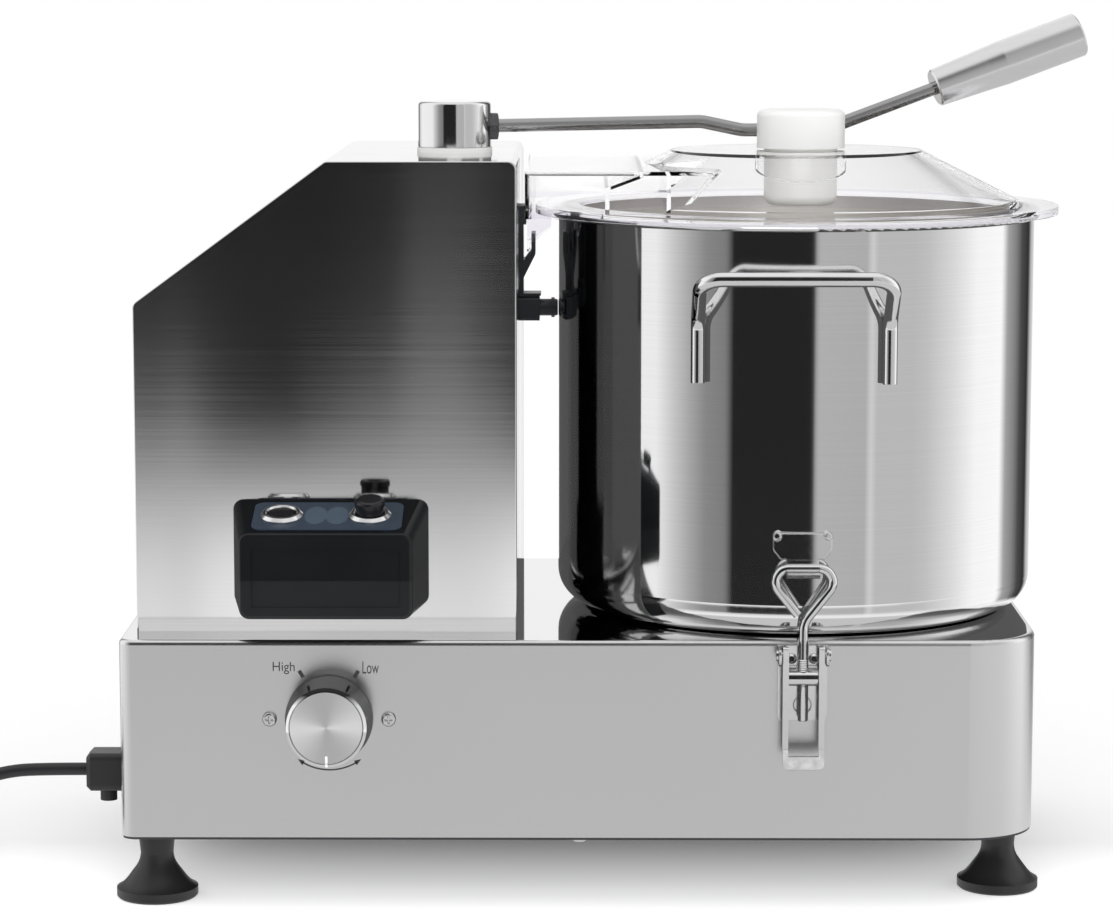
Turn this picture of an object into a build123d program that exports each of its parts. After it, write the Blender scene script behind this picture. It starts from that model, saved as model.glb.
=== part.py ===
from build123d import *
import os
from math import asin, atan2, cos, degrees, hypot, radians, sin, sqrt, tan

# Bench-top bowl cutter, modelled piece by piece in millimetres.
# X runs to the right along the base, Y to the back and Z up from the floor. While the pieces
# are modelled, X = Y = 0 is the middle of the base. They are saved about the middle of the
# machine's whole outline, at floor level.

# ------------------------------------------------------------------ fits and gaps
sheet = 1.5                 # stainless sheet of the casings
running_fit = 0.05          # radial, a shaft in its bush or bearing
turning_gap = 0.1           # between flat faces that turn on each other
moving_gap = 0.3            # between pieces that move past each other
screw_fit = 0.2             # radial, a screw in its clearance hole
seat_fit = 0.02             # radial, a piece pressed on its seat
through = 400.0             # length of a cutter that passes right through
least_bend = 0.8            # smallest outside radius of a folded sheet corner

# ------------------------------------------------------------------ base
bowl_radius = 146.0
base_length = 540.0
base_margin = 4.0           # base beyond the bowl, front and back
base_depth = 2 * (bowl_radius + base_margin)
base_height = 119.0
foot_height = 41.0
left_corner = 9.0
right_corner = 42.0
top_edge = 3.0
plate_thickness = 1.5
plate_slot = (70.0, 5.0)
plate_setback = 0.6         # the bottom plate's edge behind the shell's face
lip_width = 16.0            # inward flange round the shell's open underside
base_top = foot_height + base_height
shell_bottom = foot_height + plate_thickness
base_front = -base_depth / 2
base_back = base_depth / 2
base_left = -base_length / 2
base_right = base_length / 2
deck_underside = base_top - sheet

# ------------------------------------------------------------------ feet
foot_sole_radius = 24.2
foot_rim_height = 6.0
foot_waist_radius = 9.8
foot_waist_height = 27.0
foot_inset_x = 18.0         # foot centre from the end of the base
foot_inset_left_y = 29.0    # foot centre from the front or back, at the left end
foot_inset_right_y = 53.0   # the same at the right end, clear of the large corners
foot_bolt_radius = 4.0
foot_counterbore_radius = 8.0
foot_counterbore_depth = 12.0
foot_bolt_above_plate = 14.0
foot_bolt_head = 5.5
foot_head_radius = 6.8
foot_nut_radius = 7.5
foot_nut_height = 6.5

# ------------------------------------------------------------------ pan-head screws
screw_radius = 2.0
screw_head_radius = 4.2
screw_head_height = 2.4
screw_length = 9.0
recess_width = 1.1
recess_depth = 1.2
edge_screw_inset = 8.5      # a bottom-plate screw from the edge of the base

# ------------------------------------------------------------------ motor housing
housing_left = -262.0
housing_right = -37.0
housing_front = -120.0
housing_height = 277.5
housing_slope_low = 194.0   # where the sloped face starts, above the base
housing_slope_x = -148.5
housing_corner = 5.0
housing_fold = 1.0
housing_lip = 13.0
housing_top = base_top + housing_height
housing_back = base_back
louvre_count = 7
louvre_length = 90.0
louvre_height = 5.0
louvre_pitch = 14.0
louvre_lowest = 215.0

# ------------------------------------------------------------------ control box and buttons
box_centre_x = -146.6
box_front_width = 100.0
box_back_width = 115.0
box_reach = 50.0
box_bottom = 176.0
box_front_top = 226.0
box_back_top = 239.0
box_wall = 2.5
box_corner = 6.0
label_width = 87.0
label_depth = 40.0
label_thickness = 0.5
label_corner = 6.0
button_spacing = 51.4
button_shift_x = -1.2       # middle of the button pair from the middle of the box
bezel_radius = 12.5
bezel_bore = 8.5
bezel_height = 2.6
bezel_neck_radius = 10.8
bezel_neck_length = 13.0
cap_radius = 8.2
cap_rise = 1.4              # top of the flat cap above the label
stem_radius = 6.0
mushroom_radius = 8.9
mushroom_height = 4.2
mushroom_rise = 11.0
button_travel = 3.0
button_guide_depth = 6.0    # foot of the sliding part below the box's slope

# ------------------------------------------------------------------ speed switch
knob_centre_x = -146.6
knob_below_top = 46.6       # knob axis below the top of the base
knob_base_radius = 25.7
knob_face_radius = 22.6
knob_length = 25.5
knob_standoff = 0.6
knob_bevel = 1.6
spindle_radius = 3.0
bush_radius = 5.0
bush_proud = 2.4
knob_recess_radius = 8.0
knob_recess_depth = 4.0
spindle_in_knob = 14.0
switch_size = (44.0, 28.0, 40.0)
switch_ear_length = 84.0
switch_ear_height = 18.0
switch_screw_spacing = 69.6
switch_bore_depth = 20.0
knob_centre_z = base_top - knob_below_top

# ------------------------------------------------------------------ bowl
bowl_to_housing = 23.7      # gap between the bowl and the housing's wall
bowl_wall = 1.5
bowl_height = 242.7
bowl_corner = 20.0
bead_radius = 2.2
tube_bore = 12.3
tube_wall = 1.5
tube_height = 110.0
bowl_rim = base_top + bowl_height
bowl_axis_x = housing_right + bowl_to_housing + bowl_radius

# ------------------------------------------------------------------ bowl handle and catch plate
handle_centre_x = bowl_axis_x - 8.7
handle_rod = 4.2
handle_spread = 111.0
handle_leg_bottom = 310.0
handle_leg_top = 347.0
handle_bar_z = 373.0
handle_bar_reach = 26.0     # grip bar in front of the bowl's front
handle_bend = 13.0
catch_x = bowl_axis_x - 3.2
catch_top = 223.3
catch_top_width = 34.5
catch_neck_width = 26.0
catch_hook_width = 19.0
catch_corner = 4.0
catch_thickness = 2.0
catch_standoff = 1.0
catch_chamfer = 10.0        # height of the plate's straight sides
weld_bump_radius = 2.4
weld_bump_height = 0.9
weld_bump_spread = 30.0
weld_bump_drop = 1.6        # middle of the bumps below the plate's top

# ------------------------------------------------------------------ toggle latch
latch_x = bowl_axis_x - 2.7
latch_plate_width = 29.0
latch_plate_height = 45.0
latch_plate_top = 158.0
latch_ear_reach = 13.0
latch_ear_height = 12.0
lever_width = 24.5
lever_opening = 17.5
lever_opening_bottom = 95.0
lever_bottom = 87.3
lever_bend_z = 98.5
lever_corner = 3.5
lever_flare = 4.6
lever_lug_radius = 6.8
lever_front_reach = 5.3     # lever's front face ahead of its pivot
pivot_z = 153.5
pivot_radius = 2.0
pivot_head_radius = 3.4
pivot_head = 1.4
pivot_inside = 1.2          # pin end inside the lever's cheek
over_centre = 2.5           # barrel axis behind the pivot when shut
barrel_z = 139.7
barrel_radius = 4.7
barrel_length = 17.6
barrel_pin_radius = 2.5
barrel_to_plate = 0.5
stem_bolt_radius = 3.0
stem_bottom = 114.0
stem_top = 163.0
loop_wire_radius = 2.75
loop_bar_z = 204.0
loop_corner_x = 25.0
loop_fork_z = 172.0
loop_end = (-3.4, 176.8)    # cut end of the loop's wire, from the stem's axis
loop_bend = 8.0
loop_fork_bend = 14.0
rivet_radius = 1.6
rivet_head_radius = 3.0
rivet_head = 1.6
rivet_spacing = 12.8
rivet_z = 150.0
low_rivet_z = 122.5
low_rivet_window = 5.2      # radius of the dished window round the low rivet
low_rivet_seat = 0.5        # plate left under the low rivet's head
hook_clearance = 1.05       # loop's bar above the hook's trough
hook_lip_height = 2.3       # hook's lip above its trough
latch_angle = 80.0
loop_share = 0.18           # loop's own swing, as a share of the lever's
latch_plate_front = base_front - sheet
barrel_y = latch_plate_front - barrel_to_plate - barrel_radius
pivot_y = barrel_y - over_centre

# ------------------------------------------------------------------ lid hook and bowl switch
hook_width = 24.0
hook_strip = 2.3
hook_top = 405.0
hook_head = 4.0
hook_head_height = 11.5
hook_reach = 9.6
hook_arm = 2.4
hook_arm_start_z = 360.5
hook_arm_bend_z = 375.0
hook_arm_top_z = 388.0
hook_slot_z = 371.8
switch_block_reach = 12.2
switch_block_width = 20.0
plunger_z = 341.6
switch_block_z = (plunger_z - 7.6, plunger_z + 9.4)
switch_cap_thickness = 1.4
switch_cap_step = 0.8       # groove under the block's cap, and the cap's overhang
hook_bottom = switch_block_z[1]
plunger_radius = 5.2
plunger_collar_radius = 6.2
plunger_collar = (2.0, 2.0)  # its distance from the tip and its thickness
plunger_inside = 22.0       # length inside the housing wall
plunger_flange_radius = 8.0
plunger_travel = 5.0

# ------------------------------------------------------------------ lever arm
post_x = -77.0
post_radius = 22.4
post_height = 28.0
post_edge = 2.6
washer_radius = 23.0
washer_thickness = 3.0
post_spindle_radius = 8.0
post_spindle_below = 33.0   # spindle end below the housing's top
post_flat_radius = 9.6
post_flat_x = 20.5          # distance of the flat seat from the post's axis
nut_across_flats = 16.0
nut_thickness = 6.0
rod_radius = 4.1
rod_z = 453.0
rod_root = 4.0
rod_hump = (154.0, 455.2)
rod_dip = (179.5, 449.8)
rod_low_z = 449.6           # where the rod turns up towards the grip
rod_grip_start = (302.2, 475.0)
grip_end = (394.8, 508.4)
rod_in_grip = 34.0
rod_bend = 26.0
grip_small_radius = 11.8
grip_large_radius = 13.9
grip_taper_share = 0.36
grip_edge = 1.5
arm_angle_range = 110.0
bush_flange_radius = 20.0
bush_flange = 3.0
bush_neck_radius = 12.0
bush_depth = 20.0
cam_radius = 18.0
cam_flat = 13.5             # distance of the cam's flat from its axis
cam_thickness = 7.0
cam_above_end = 2.0
washer_top = housing_top + washer_thickness
post_bottom = washer_top + turning_gap
post_top = post_bottom + post_height
spindle_end = housing_top - post_spindle_below
cam_z = spindle_end + cam_above_end

# ------------------------------------------------------------------ lid and stopper
lid_thickness = 2.5
lid_overhang = 14.5         # lid's flange beyond the bowl's wall
lid_flange_radius = bowl_radius + lid_overhang
lid_flange_thickness = 3.0
lid_lip_height = 2.0
lid_lip_width = 3.0
lid_seat_gap = 0.3
lid_cone_low = (bowl_radius - 10.0, 6.0)    # radius and height above the flange's underside
lid_cone_high = (77.0, 36.0)
lid_flange_bore = bowl_radius - 13.0
skirt_radius = bowl_radius - 3.5
skirt_depth = 8.0
skirt_wall = 2.5
hood_left = housing_right + 4.5
hood_half_width = 110.0
hood_height = 28.0
hood_right_top = bowl_axis_x - 50.0
hood_right_low = bowl_axis_x - 70.0
hood_bend_height = 7.0
baffle = ((-98.0, 25.5), (-118.0, 18.0), (-118.0, 3.0))     # from the bowl's axis, above the flange
rib_x = bowl_axis_x - 82.0
rib_height = 22.0
feed_x = bowl_axis_x + 2.9
collar_radius = 28.0
collar_wall = 2.0
collar_depth = 19.0
collar_slant = 14.0         # degrees
tongue_offset = 15.0
tongue_thickness = 3.0
tongue_left = housing_right + 4.4
tongue_tip_z = 376.5
tongue_bar_top = 384.0
tongue_right = housing_right + 6.6
tongue_root = housing_right + 19.4
tongue_root_z = 391.5
lid_lift = 5.0
stopper_body_radius = 22.5
stopper_head_radius = 27.0
stopper_head_height = 23.5
stopper_body_depth = 34.0
stopper_edge = 4.0
stopper_gap = 1.0
stopper_lift = 65.0
lid_under = bowl_rim + lid_seat_gap
lid_top = lid_under + lid_cone_high[1]

# ------------------------------------------------------------------ drive
shaft_radius = 10.0
shaft_bottom = 62.0
shaft_top = 300.0
shaft_flat_z = 268.0        # above this the shaft has two flats
shaft_across_flats = 15.0
bearing_radius = 23.5
bearing_width = 14.0
bearing_gap = 28.0
housing_body_radius = 33.0
housing_flange_radius = 52.0
housing_flange = 6.0
spigot_radius = 11.8
spigot_bore = 10.6
spigot_height = 42.0
pulley_z = (66.0, 90.0)
pulley_flange = 2.0
pulley_flange_rise = 4.5
driven_pulley_radius = 60.0
motor_pulley_radius = 30.0
belt_thickness = 3.5
motor_x = -150.0
motor_y = 15.0
motor_shaft_radius = 9.0
motor_shaft_bottom = 64.0
motor_shaft_top = 372.0
motor_radius = 62.0
motor_height = 180.0
motor_flange_size = 130.0
motor_flange = 8.0
motor_wall = 8.0
motor_spigot_radius = 38.0
rotor_radius = 36.0
rotor_height = 118.0
stator_gap = 0.5
fin_count = 16
fin_depth = 4.0
fin_width = 5.0
fan_radius = 48.0
fan_hub_radius = 14.0
fan_height = 14.0
fan_blades = 7
fan_above_motor = 4.0
capacitor_radius = 21.0
capacitor_height = 82.0
capacitor_x = -72.0
capacitor_y = 92.0
drive_ratio = driven_pulley_radius / motor_pulley_radius

# ------------------------------------------------------------------ knife set
hub_bore = 14.6
hub_radius = 18.0
hub_flange_radius = 25.0
hub_flange = 5.0
hub_bottom_gap = 5.0
hub_top_above_shaft = 12.0
blade_thickness = 2.5
blade_to_wall = 10.5        # blade tip to the bowl's wall
blade_root = 30.0
blade_reach = bowl_radius - bowl_wall - blade_to_wall
blade_sweep = 58.0          # degrees that a blade's tip trails its root
spacer_height = 42.0
clamp_height = 14.0
clamp_radius = 24.0
clamp_flutes = 6
upper_blade_turn = 90.0
knife_lift = 85.0
hub_bottom = base_top + bowl_wall + hub_bottom_gap
hub_top = shaft_top + hub_top_above_shaft

# ------------------------------------------------------------------ cable
gland_y = -108.0
gland_z = 74.0
gland_reach = 24.0
gland_width = 24.0
gland_height = 23.0
gland_neck_radius = 7.8
gland_neck_length = 16.0
gland_clamp_radius = 5.0
gland_clamp_drop = 7.0
cord_radius = 3.85
coil_centre = (-449.0, -41.0)
coil_turn_radius = 42.5
coil_rings = 3
coil_layers = 2
cord_route = [
    (-294.0, -108.0, 74.0),
    (-318.0, -108.0, 74.0),
    (-342.0, -107.8, 72.8),
    (-365.0, -106.4, 65.0),
    (-382.0, -104.0, 49.0),
    (-395.0, -101.0, 30.0),
    (-409.0, -97.5, 13.0),
    (-427.0, -94.0, 4.6),
    (-449.0, -91.5, 4.0),
]
plug_length = 38.0
plug_radius = 13.0
plug_tail = 26.0
plug_blade = (1.5, 6.3, 17.0)   # thickness, width and length
plug_blade_spacing = 12.7
plug_ground_radius = 2.4
plug_ground_offset = 11.9
plug_ground_extra = 3.0

# ------------------------------------------------------------------ outline of the machine
front_reach = bowl_radius + handle_bar_reach + handle_rod
grip_corner = 5.0           # the grip's lower corner past the end of its axis
arm_angle = degrees(asin((stopper_head_radius + rod_radius + 0.5) / (feed_x - post_x)))
outline_left = base_left - gland_reach
outline_right = post_x + (grip_end[0] + grip_corner) * cos(radians(arm_angle))
ORIGIN = ((outline_left + outline_right) / 2, (lid_flange_radius - front_reach) / 2)


# ------------------------------------------------------------------ shared shapes
def block(x_range, y_range, z_range):
    """A box, each range given as (low, high)."""
    size = [high - low for low, high in (x_range, y_range, z_range)]
    middle = [(low + high) / 2 for low, high in (x_range, y_range, z_range)]
    return Pos(*middle) * Box(*size)


def bar(radius, start, end):
    """A round bar from one point to another."""
    start, end = Vector(*start), Vector(*end)
    along = end - start
    align = (Align.CENTER, Align.CENTER, Align.MIN)
    return Plane(origin=start, z_dir=along) * Cylinder(radius, along.length, align=align)


def turned(outline, centre=(0, 0)):
    """A solid of revolution about a vertical axis, from (radius, height) points."""
    face = make_face(Polyline(*[(r, 0, z) for r, z in outline], close=True))
    return Pos(centre[0], centre[1], 0) * revolve(face, Axis.Z)


def ring(inner, outer, z_range, centre=(0, 0)):
    """A plain ring or washer."""
    low, high = z_range
    return turned([(inner, low), (outer, low), (outer, high), (inner, high)], centre)


def side_profile(points, y_range):
    """Points in the XZ plane, carried from one Y to another."""
    low, high = y_range
    face = make_face(Polyline(*[(x, low, z) for x, z in points], close=True))
    return extrude(face, high - low, dir=(0, 1, 0))


def end_profile(points, x_range):
    """Points in the YZ plane, carried from one X to another."""
    low, high = x_range
    face = make_face(Polyline(*[(low, y, z) for y, z in points], close=True))
    return extrude(face, high - low, dir=(1, 0, 0))


def bent_rod(radius, points, bends):
    """A round rod along straight runs joined by tangent bends."""
    path = FilletPolyline(*points, radius=bends)
    return sweep(Plane(origin=path @ 0, z_dir=path % 0) * Circle(radius), path=path)


def stadium(z_range, gap, axes):
    """The shape that a belt spans round both pulleys, gap outside their faces."""
    (x_a, y_a, r_a), (x_b, y_b, r_b) = axes
    circles = [Pos(x_a, y_a) * Circle(r_a + gap), Pos(x_b, y_b) * Circle(r_b + gap)]
    low, high = z_range
    hull = make_hull([edge for circle in circles for edge in circle.edges()])
    return extrude(Pos(0, 0, low) * hull, high - low)


def save(name, *solids):
    """Write one node, about the middle of the machine's outline."""
    placed = [Pos(-ORIGIN[0], -ORIGIN[1], 0) * solid for item in solids for solid in item.solids()]
    export_step(placed[0] if len(placed) == 1 else Compound(placed), f"parts/{name}.step")


# ------------------------------------------------------------------ fasteners
def screw_places():
    """Where each pan-head screw sits: the point under its head and the way the head faces."""
    half_length, half_depth = base_length / 2 - edge_screw_inset, base_depth / 2 - edge_screw_inset
    places = [((0, side * half_depth, foot_height), (0, 0, -1)) for side in (-1, 1)]
    places += [((side * half_length, 0, foot_height), (0, 0, -1)) for side in (-1, 1)]
    inset = sheet + housing_lip / 2
    low, high = base_top + 2 * inset, base_top + housing_slope_low - inset
    for x, z in ((housing_left + inset, low), (housing_left + inset, high),
                 (housing_right - inset, low), (housing_right - inset, high)):
        places.append(((x, housing_back, z), (0, 1, 0)))
    for side in (-1, 1):
        x = knob_centre_x + side * switch_screw_spacing / 2
        places.append(((x, base_front, knob_centre_z), (0, -1, 0)))
    return places


def pan_screw(seat, facing):
    """A pan-head screw with a cross recess."""
    head = Cylinder(screw_head_radius, screw_head_height, align=(Align.CENTER, Align.CENTER, Align.MIN))
    head = fillet(head.faces().sort_by(Axis.Z)[-1].edges(), screw_head_height * 0.6)
    shank = Pos(0, 0, -screw_length / 2) * Cylinder(screw_radius, screw_length)
    arm = Box(screw_head_radius * 1.1, recess_width, 2 * recess_depth)
    top = Pos(0, 0, screw_head_height)
    return Plane(origin=seat, z_dir=facing) * (head + shank - top * arm - top * Rot(0, 0, 90) * arm)


def screw_holes():
    """Clearance holes for every pan-head screw."""
    holes = []
    for seat, facing in screw_places():
        end = Vector(*seat) - Vector(*facing) * (screw_length + 1)
        start = Vector(*seat) + Vector(*facing)
        holes.append(bar(screw_radius + screw_fit, tuple(start), tuple(end)))
    return holes


# ------------------------------------------------------------------ base
def base_plan(inset):
    """The base seen from above, drawn in by a margin."""
    plan = Rectangle(base_length - 2 * inset, base_depth - 2 * inset)
    plan = fillet(plan.vertices().sort_by(Axis.X)[:2], max(left_corner - inset, least_bend))
    return fillet(plan.vertices().sort_by(Axis.X)[-2:], max(right_corner - inset, least_bend))


def foot_centres():
    """The four feet, by name."""
    left, right = base_left + foot_inset_x, base_right - foot_inset_x
    left_y, right_y = base_back - foot_inset_left_y, base_back - foot_inset_right_y
    return {"foot_front_left": (left, -left_y), "foot_front_right": (right, -right_y),
            "foot_rear_left": (left, left_y), "foot_rear_right": (right, right_y)}


def base_shell():
    """The folded cover of the base, open below, with an inward lip."""
    height = base_top - shell_bottom
    outer = extrude(Pos(0, 0, shell_bottom) * base_plan(0), height)
    outer = fillet(outer.faces().sort_by(Axis.Z)[-1].edges(), top_edge)
    inner = extrude(Pos(0, 0, shell_bottom) * base_plan(sheet), height - sheet)
    inner = fillet(inner.faces().sort_by(Axis.Z)[-1].edges(), top_edge - sheet)
    lip_plan = base_plan(sheet) - base_plan(lip_width)
    lip = extrude(Pos(0, 0, shell_bottom) * lip_plan, sheet)
    shell = outer - inner + lip
    for radius, x, y in ((spigot_radius, bowl_axis_x, 0), (motor_spigot_radius, motor_x, motor_y)):
        shell -= bar(radius + screw_fit, (x, y, deck_underside - 1), (x, y, base_top + 1))
    shell -= bar(bush_radius + screw_fit, (knob_centre_x, base_front - 1, knob_centre_z),
                 (knob_centre_x, base_front + sheet + 1, knob_centre_z))
    shell -= bar(gland_neck_radius + screw_fit, (base_left - 1, gland_y, gland_z),
                 (base_left + sheet + 1, gland_y, gland_z))
    for x, z in rivet_places():
        shell -= bar(rivet_radius + screw_fit, (x, base_front - 1, z), (x, base_front + sheet + 1, z))
    for x, y in foot_centres().values():
        shell -= bar(foot_bolt_radius + screw_fit, (x, y, shell_bottom - 1), (x, y, shell_bottom + sheet + 1))
    for hole in screw_holes():
        shell -= hole
    return shell


def base_bottom_plate():
    """The plate that closes the base from below, with air slots under the motor."""
    plate = extrude(Pos(0, 0, foot_height) * base_plan(plate_setback), plate_thickness)
    for x, y in foot_centres().values():
        plate -= bar(foot_bolt_radius + screw_fit, (x, y, foot_height - 1), (x, y, shell_bottom + 1))
    slot = extrude(SlotOverall(*plate_slot), 3 * plate_thickness)
    for row in range(-3, 4):
        plate -= Pos(motor_x, motor_y + row * 14, foot_height - plate_thickness) * slot
    for hole in screw_holes():
        plate -= hole
    return plate


def foot(centre):
    """A flared rubber foot with a counterbore for its bolt."""
    waist, sole = foot_waist_radius, foot_sole_radius
    flank = Spline((sole, 0, foot_rim_height), (waist + 5.2, 0, foot_waist_height * 0.56),
                   (waist, 0, foot_waist_height),
                   tangents=((-1, 0, 0.45), (0, 0, 1)))
    rest = Polyline((waist, 0, foot_waist_height), (waist + 1.2, 0, foot_height - 2),
                    (waist + 1.2, 0, foot_height), (0, 0, foot_height), (0, 0, 0),
                    (sole - 1.2, 0, 0), (sole, 0, 1.2), (sole, 0, foot_rim_height))
    solid = revolve(make_face([flank, *rest.edges()]), Axis.Z)
    solid -= Pos(0, 0, foot_counterbore_depth / 2 - 0.5) * Cylinder(
        foot_counterbore_radius, foot_counterbore_depth + 1)
    solid -= Pos(0, 0, foot_height / 2) * Cylinder(foot_bolt_radius + screw_fit, foot_height + 2)
    return Pos(centre[0], centre[1], 0) * solid


def foot_bolts():
    """One bolt and nut for each foot."""
    bolts = []
    seat, deck = foot_counterbore_depth, shell_bottom + sheet
    end = deck + foot_bolt_above_plate
    for centre in foot_centres().values():
        bolt = turned([(0, seat - foot_bolt_head), (foot_head_radius, seat - foot_bolt_head),
                       (foot_head_radius, seat), (foot_bolt_radius, seat),
                       (foot_bolt_radius, end), (0, end)], centre)
        nut = extrude(Pos(centre[0], centre[1], deck) * RegularPolygon(foot_nut_radius, 6), foot_nut_height)
        bolts.append(bolt + nut)
    return bolts


# ------------------------------------------------------------------ motor housing
def housing_outline(inset):
    """The housing seen from the front, drawn in by a sheet's thickness."""
    points = [(housing_left, base_top), (housing_left, base_top + housing_slope_low),
              (housing_slope_x, housing_top), (housing_right, housing_top), (housing_right, base_top)]
    face = make_face(Polyline(*[(x, 0, z) for x, z in points], close=True))
    bend = max(housing_corner - inset, least_bend)
    corners = face.vertices().sort_by(Axis.Z)[2:]
    face = fillet(corners, housing_corner)
    return face if inset == 0 else offset(face, -inset, kind=Kind.INTERSECTION)


def housing_solid(inset, y_range, below=0.0):
    """The housing's outline carried from one Y to another, and on downwards if asked."""
    low, high = y_range
    solid = extrude(Pos(0, low, 0) * housing_outline(inset), high - low, dir=(0, 1, 0))
    if below:
        solid += block((housing_left + inset, housing_right - inset), y_range,
                       (base_top - below, base_top + inset + 10))
    return solid


def motor_housing():
    """The folded housing, open to the base below and to the back panel behind."""
    shell = housing_solid(0, (housing_front, housing_back))
    front = shell.faces().sort_by(Axis.Y)[0].edges().filter_by(
        lambda edge: edge.center().Z > base_top + 1)
    shell = fillet(front, housing_fold)
    shell -= housing_solid(sheet, (housing_front + sheet, housing_back + 1), below=5)
    lip = housing_solid(sheet, (housing_back - 2 * sheet, housing_back - sheet))
    shell += lip - housing_solid(housing_lip, (housing_front, housing_back + 1), below=5)
    shell -= bar(bush_neck_radius + screw_fit, (post_x, 0, housing_top - sheet - 1),
                 (post_x, 0, housing_top + 1))
    shell -= bar(plunger_radius + 2 * moving_gap, (housing_right - sheet - 1, 0, plunger_z),
                 (housing_right + 1, 0, plunger_z))
    shell -= block((box_centre_x - 25, box_centre_x + 25), (housing_front - 1, housing_front + sheet + 1),
                   (box_bottom + 12, box_back_top - 14))
    for hole in screw_holes():
        shell -= hole
    return shell


def housing_back_panel():
    """The removable back of the housing, with cooling louvres."""
    panel = housing_solid(sheet + screw_fit, (housing_back - sheet, housing_back))
    slot = extrude(SlotOverall(louvre_length, louvre_height), 4 * sheet)
    for row in range(louvre_count):
        z = louvre_lowest + row * louvre_pitch
        panel -= Pos(motor_x, housing_back + sheet, z) * Rot(90, 0, 0) * slot
    for hole in screw_holes():
        panel -= hole
    return panel


# ------------------------------------------------------------------ control box
def box_section(y, margin):
    """A rounded section of the control box at one depth."""
    share = (y - (housing_front - box_reach)) / box_reach
    width = box_front_width + share * (box_back_width - box_front_width) - 2 * margin
    low, high = box_bottom + margin, box_front_top + share * (box_back_top - box_front_top) - margin
    plane = Plane(origin=(box_centre_x, y, (low + high) / 2), x_dir=(1, 0, 0), z_dir=(0, -1, 0))
    return plane * RectangleRounded(width, high - low, box_corner - margin)


slope_angle = degrees(atan2(box_back_top - box_front_top, box_reach))
slope_plane = Plane(
    origin=(box_centre_x, housing_front - box_reach / 2, (box_front_top + box_back_top) / 2),
    x_dir=(1, 0, 0), z_dir=(0, -sin(radians(slope_angle)), cos(radians(slope_angle))))
button_places = [button_shift_x - button_spacing / 2, button_shift_x + button_spacing / 2]


def control_box():
    """The black switch box on the housing's front, hollow and open behind."""
    front, back = housing_front - box_reach, housing_front
    outer = loft([box_section(back, 0), box_section(front, 0)], ruled=True)
    outer = fillet(outer.faces().sort_by(Axis.Y)[0].edges(), 2.0)
    inner = loft([box_section(back, box_wall), box_section(front + box_wall, box_wall)], ruled=True)
    window = block((box_centre_x - box_front_width / 2 + 7, box_centre_x + box_front_width / 2 - 7),
                   (front - 1, front + 0.8), (box_bottom + 7, box_front_top - 9))
    box = outer - inner - window
    for x in button_places:
        box -= slope_plane * Pos(x, 0, 0) * Cylinder(bezel_neck_radius + screw_fit, 4 * box_wall)
    return box


def control_label():
    """The thin membrane label on the sloped top."""
    label = extrude(RectangleRounded(label_width, label_depth, label_corner), label_thickness)
    for x in button_places:
        label -= Pos(x, 0, 0) * Cylinder(bezel_neck_radius + screw_fit, 4 * label_thickness)
    return slope_plane * label


def button_bezel(x):
    """A bright bezel with a threaded neck through the box."""
    low = label_thickness
    bezel = turned([(bezel_bore, low - bezel_neck_length), (bezel_neck_radius, low - bezel_neck_length),
                    (bezel_neck_radius, low), (bezel_radius, low), (bezel_radius, low + 0.9),
                    (bezel_radius - 1.8, low + bezel_height), (bezel_bore + 0.9, low + bezel_height),
                    (bezel_bore, low + bezel_height - 0.9)])
    return slope_plane * Pos(x, 0, 0) * bezel


def start_button(x):
    """A flat cap that moves inside its bezel."""
    top = label_thickness + cap_rise
    cap = turned([(0, -bezel_neck_length), (stem_radius, -bezel_neck_length),
                  (stem_radius, -button_guide_depth), (cap_radius, -button_guide_depth),
                  (cap_radius, top - 0.6), (cap_radius - 0.6, top), (0, top)])
    return slope_plane * Pos(x, 0, 0) * cap


def stop_button(x):
    """A raised mushroom cap on a collar that slides in the bezel."""
    top = label_thickness + mushroom_rise
    under = top - mushroom_height
    cap = turned([(0, -bezel_neck_length), (stem_radius, -bezel_neck_length),
                  (stem_radius, -button_guide_depth), (cap_radius, -button_guide_depth),
                  (cap_radius, under), (mushroom_radius, under), (mushroom_radius, top - 1.8),
                  (mushroom_radius - 0.6, top - 0.7), (mushroom_radius - 2.2, top), (0, top)])
    return slope_plane * Pos(x, 0, 0) * cap


# ------------------------------------------------------------------ speed switch
knob_axis = Plane(origin=(knob_centre_x, base_front, knob_centre_z), x_dir=(1, 0, 0), z_dir=(0, -1, 0))


def speed_knob():
    """A turned knob with a bevelled face and a pointer groove."""
    face = knob_standoff + knob_length
    inside = face - 3.0
    knob = turned([(knob_recess_radius, knob_standoff), (knob_base_radius, knob_standoff),
                   (knob_base_radius, knob_standoff + 2), (knob_face_radius + 0.8, face - knob_bevel),
                   (knob_face_radius - knob_bevel * 0.6, face), (0, face), (0, inside),
                   (spindle_radius, inside), (spindle_radius, knob_standoff + knob_recess_depth),
                   (knob_recess_radius, knob_standoff + knob_recess_depth)])
    groove = Pos(0, -(knob_face_radius - 6), face) * Box(0.9, 8.6, 0.8)
    return knob_axis * (knob - groove)


def speed_spindle():
    """The switch's spindle, which the knob is pushed on to."""
    top = knob_standoff + knob_recess_depth + spindle_in_knob
    return knob_axis * turned([(0, -switch_bore_depth + 1), (spindle_radius, -switch_bore_depth + 1),
                               (spindle_radius, top), (0, top)])


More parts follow.
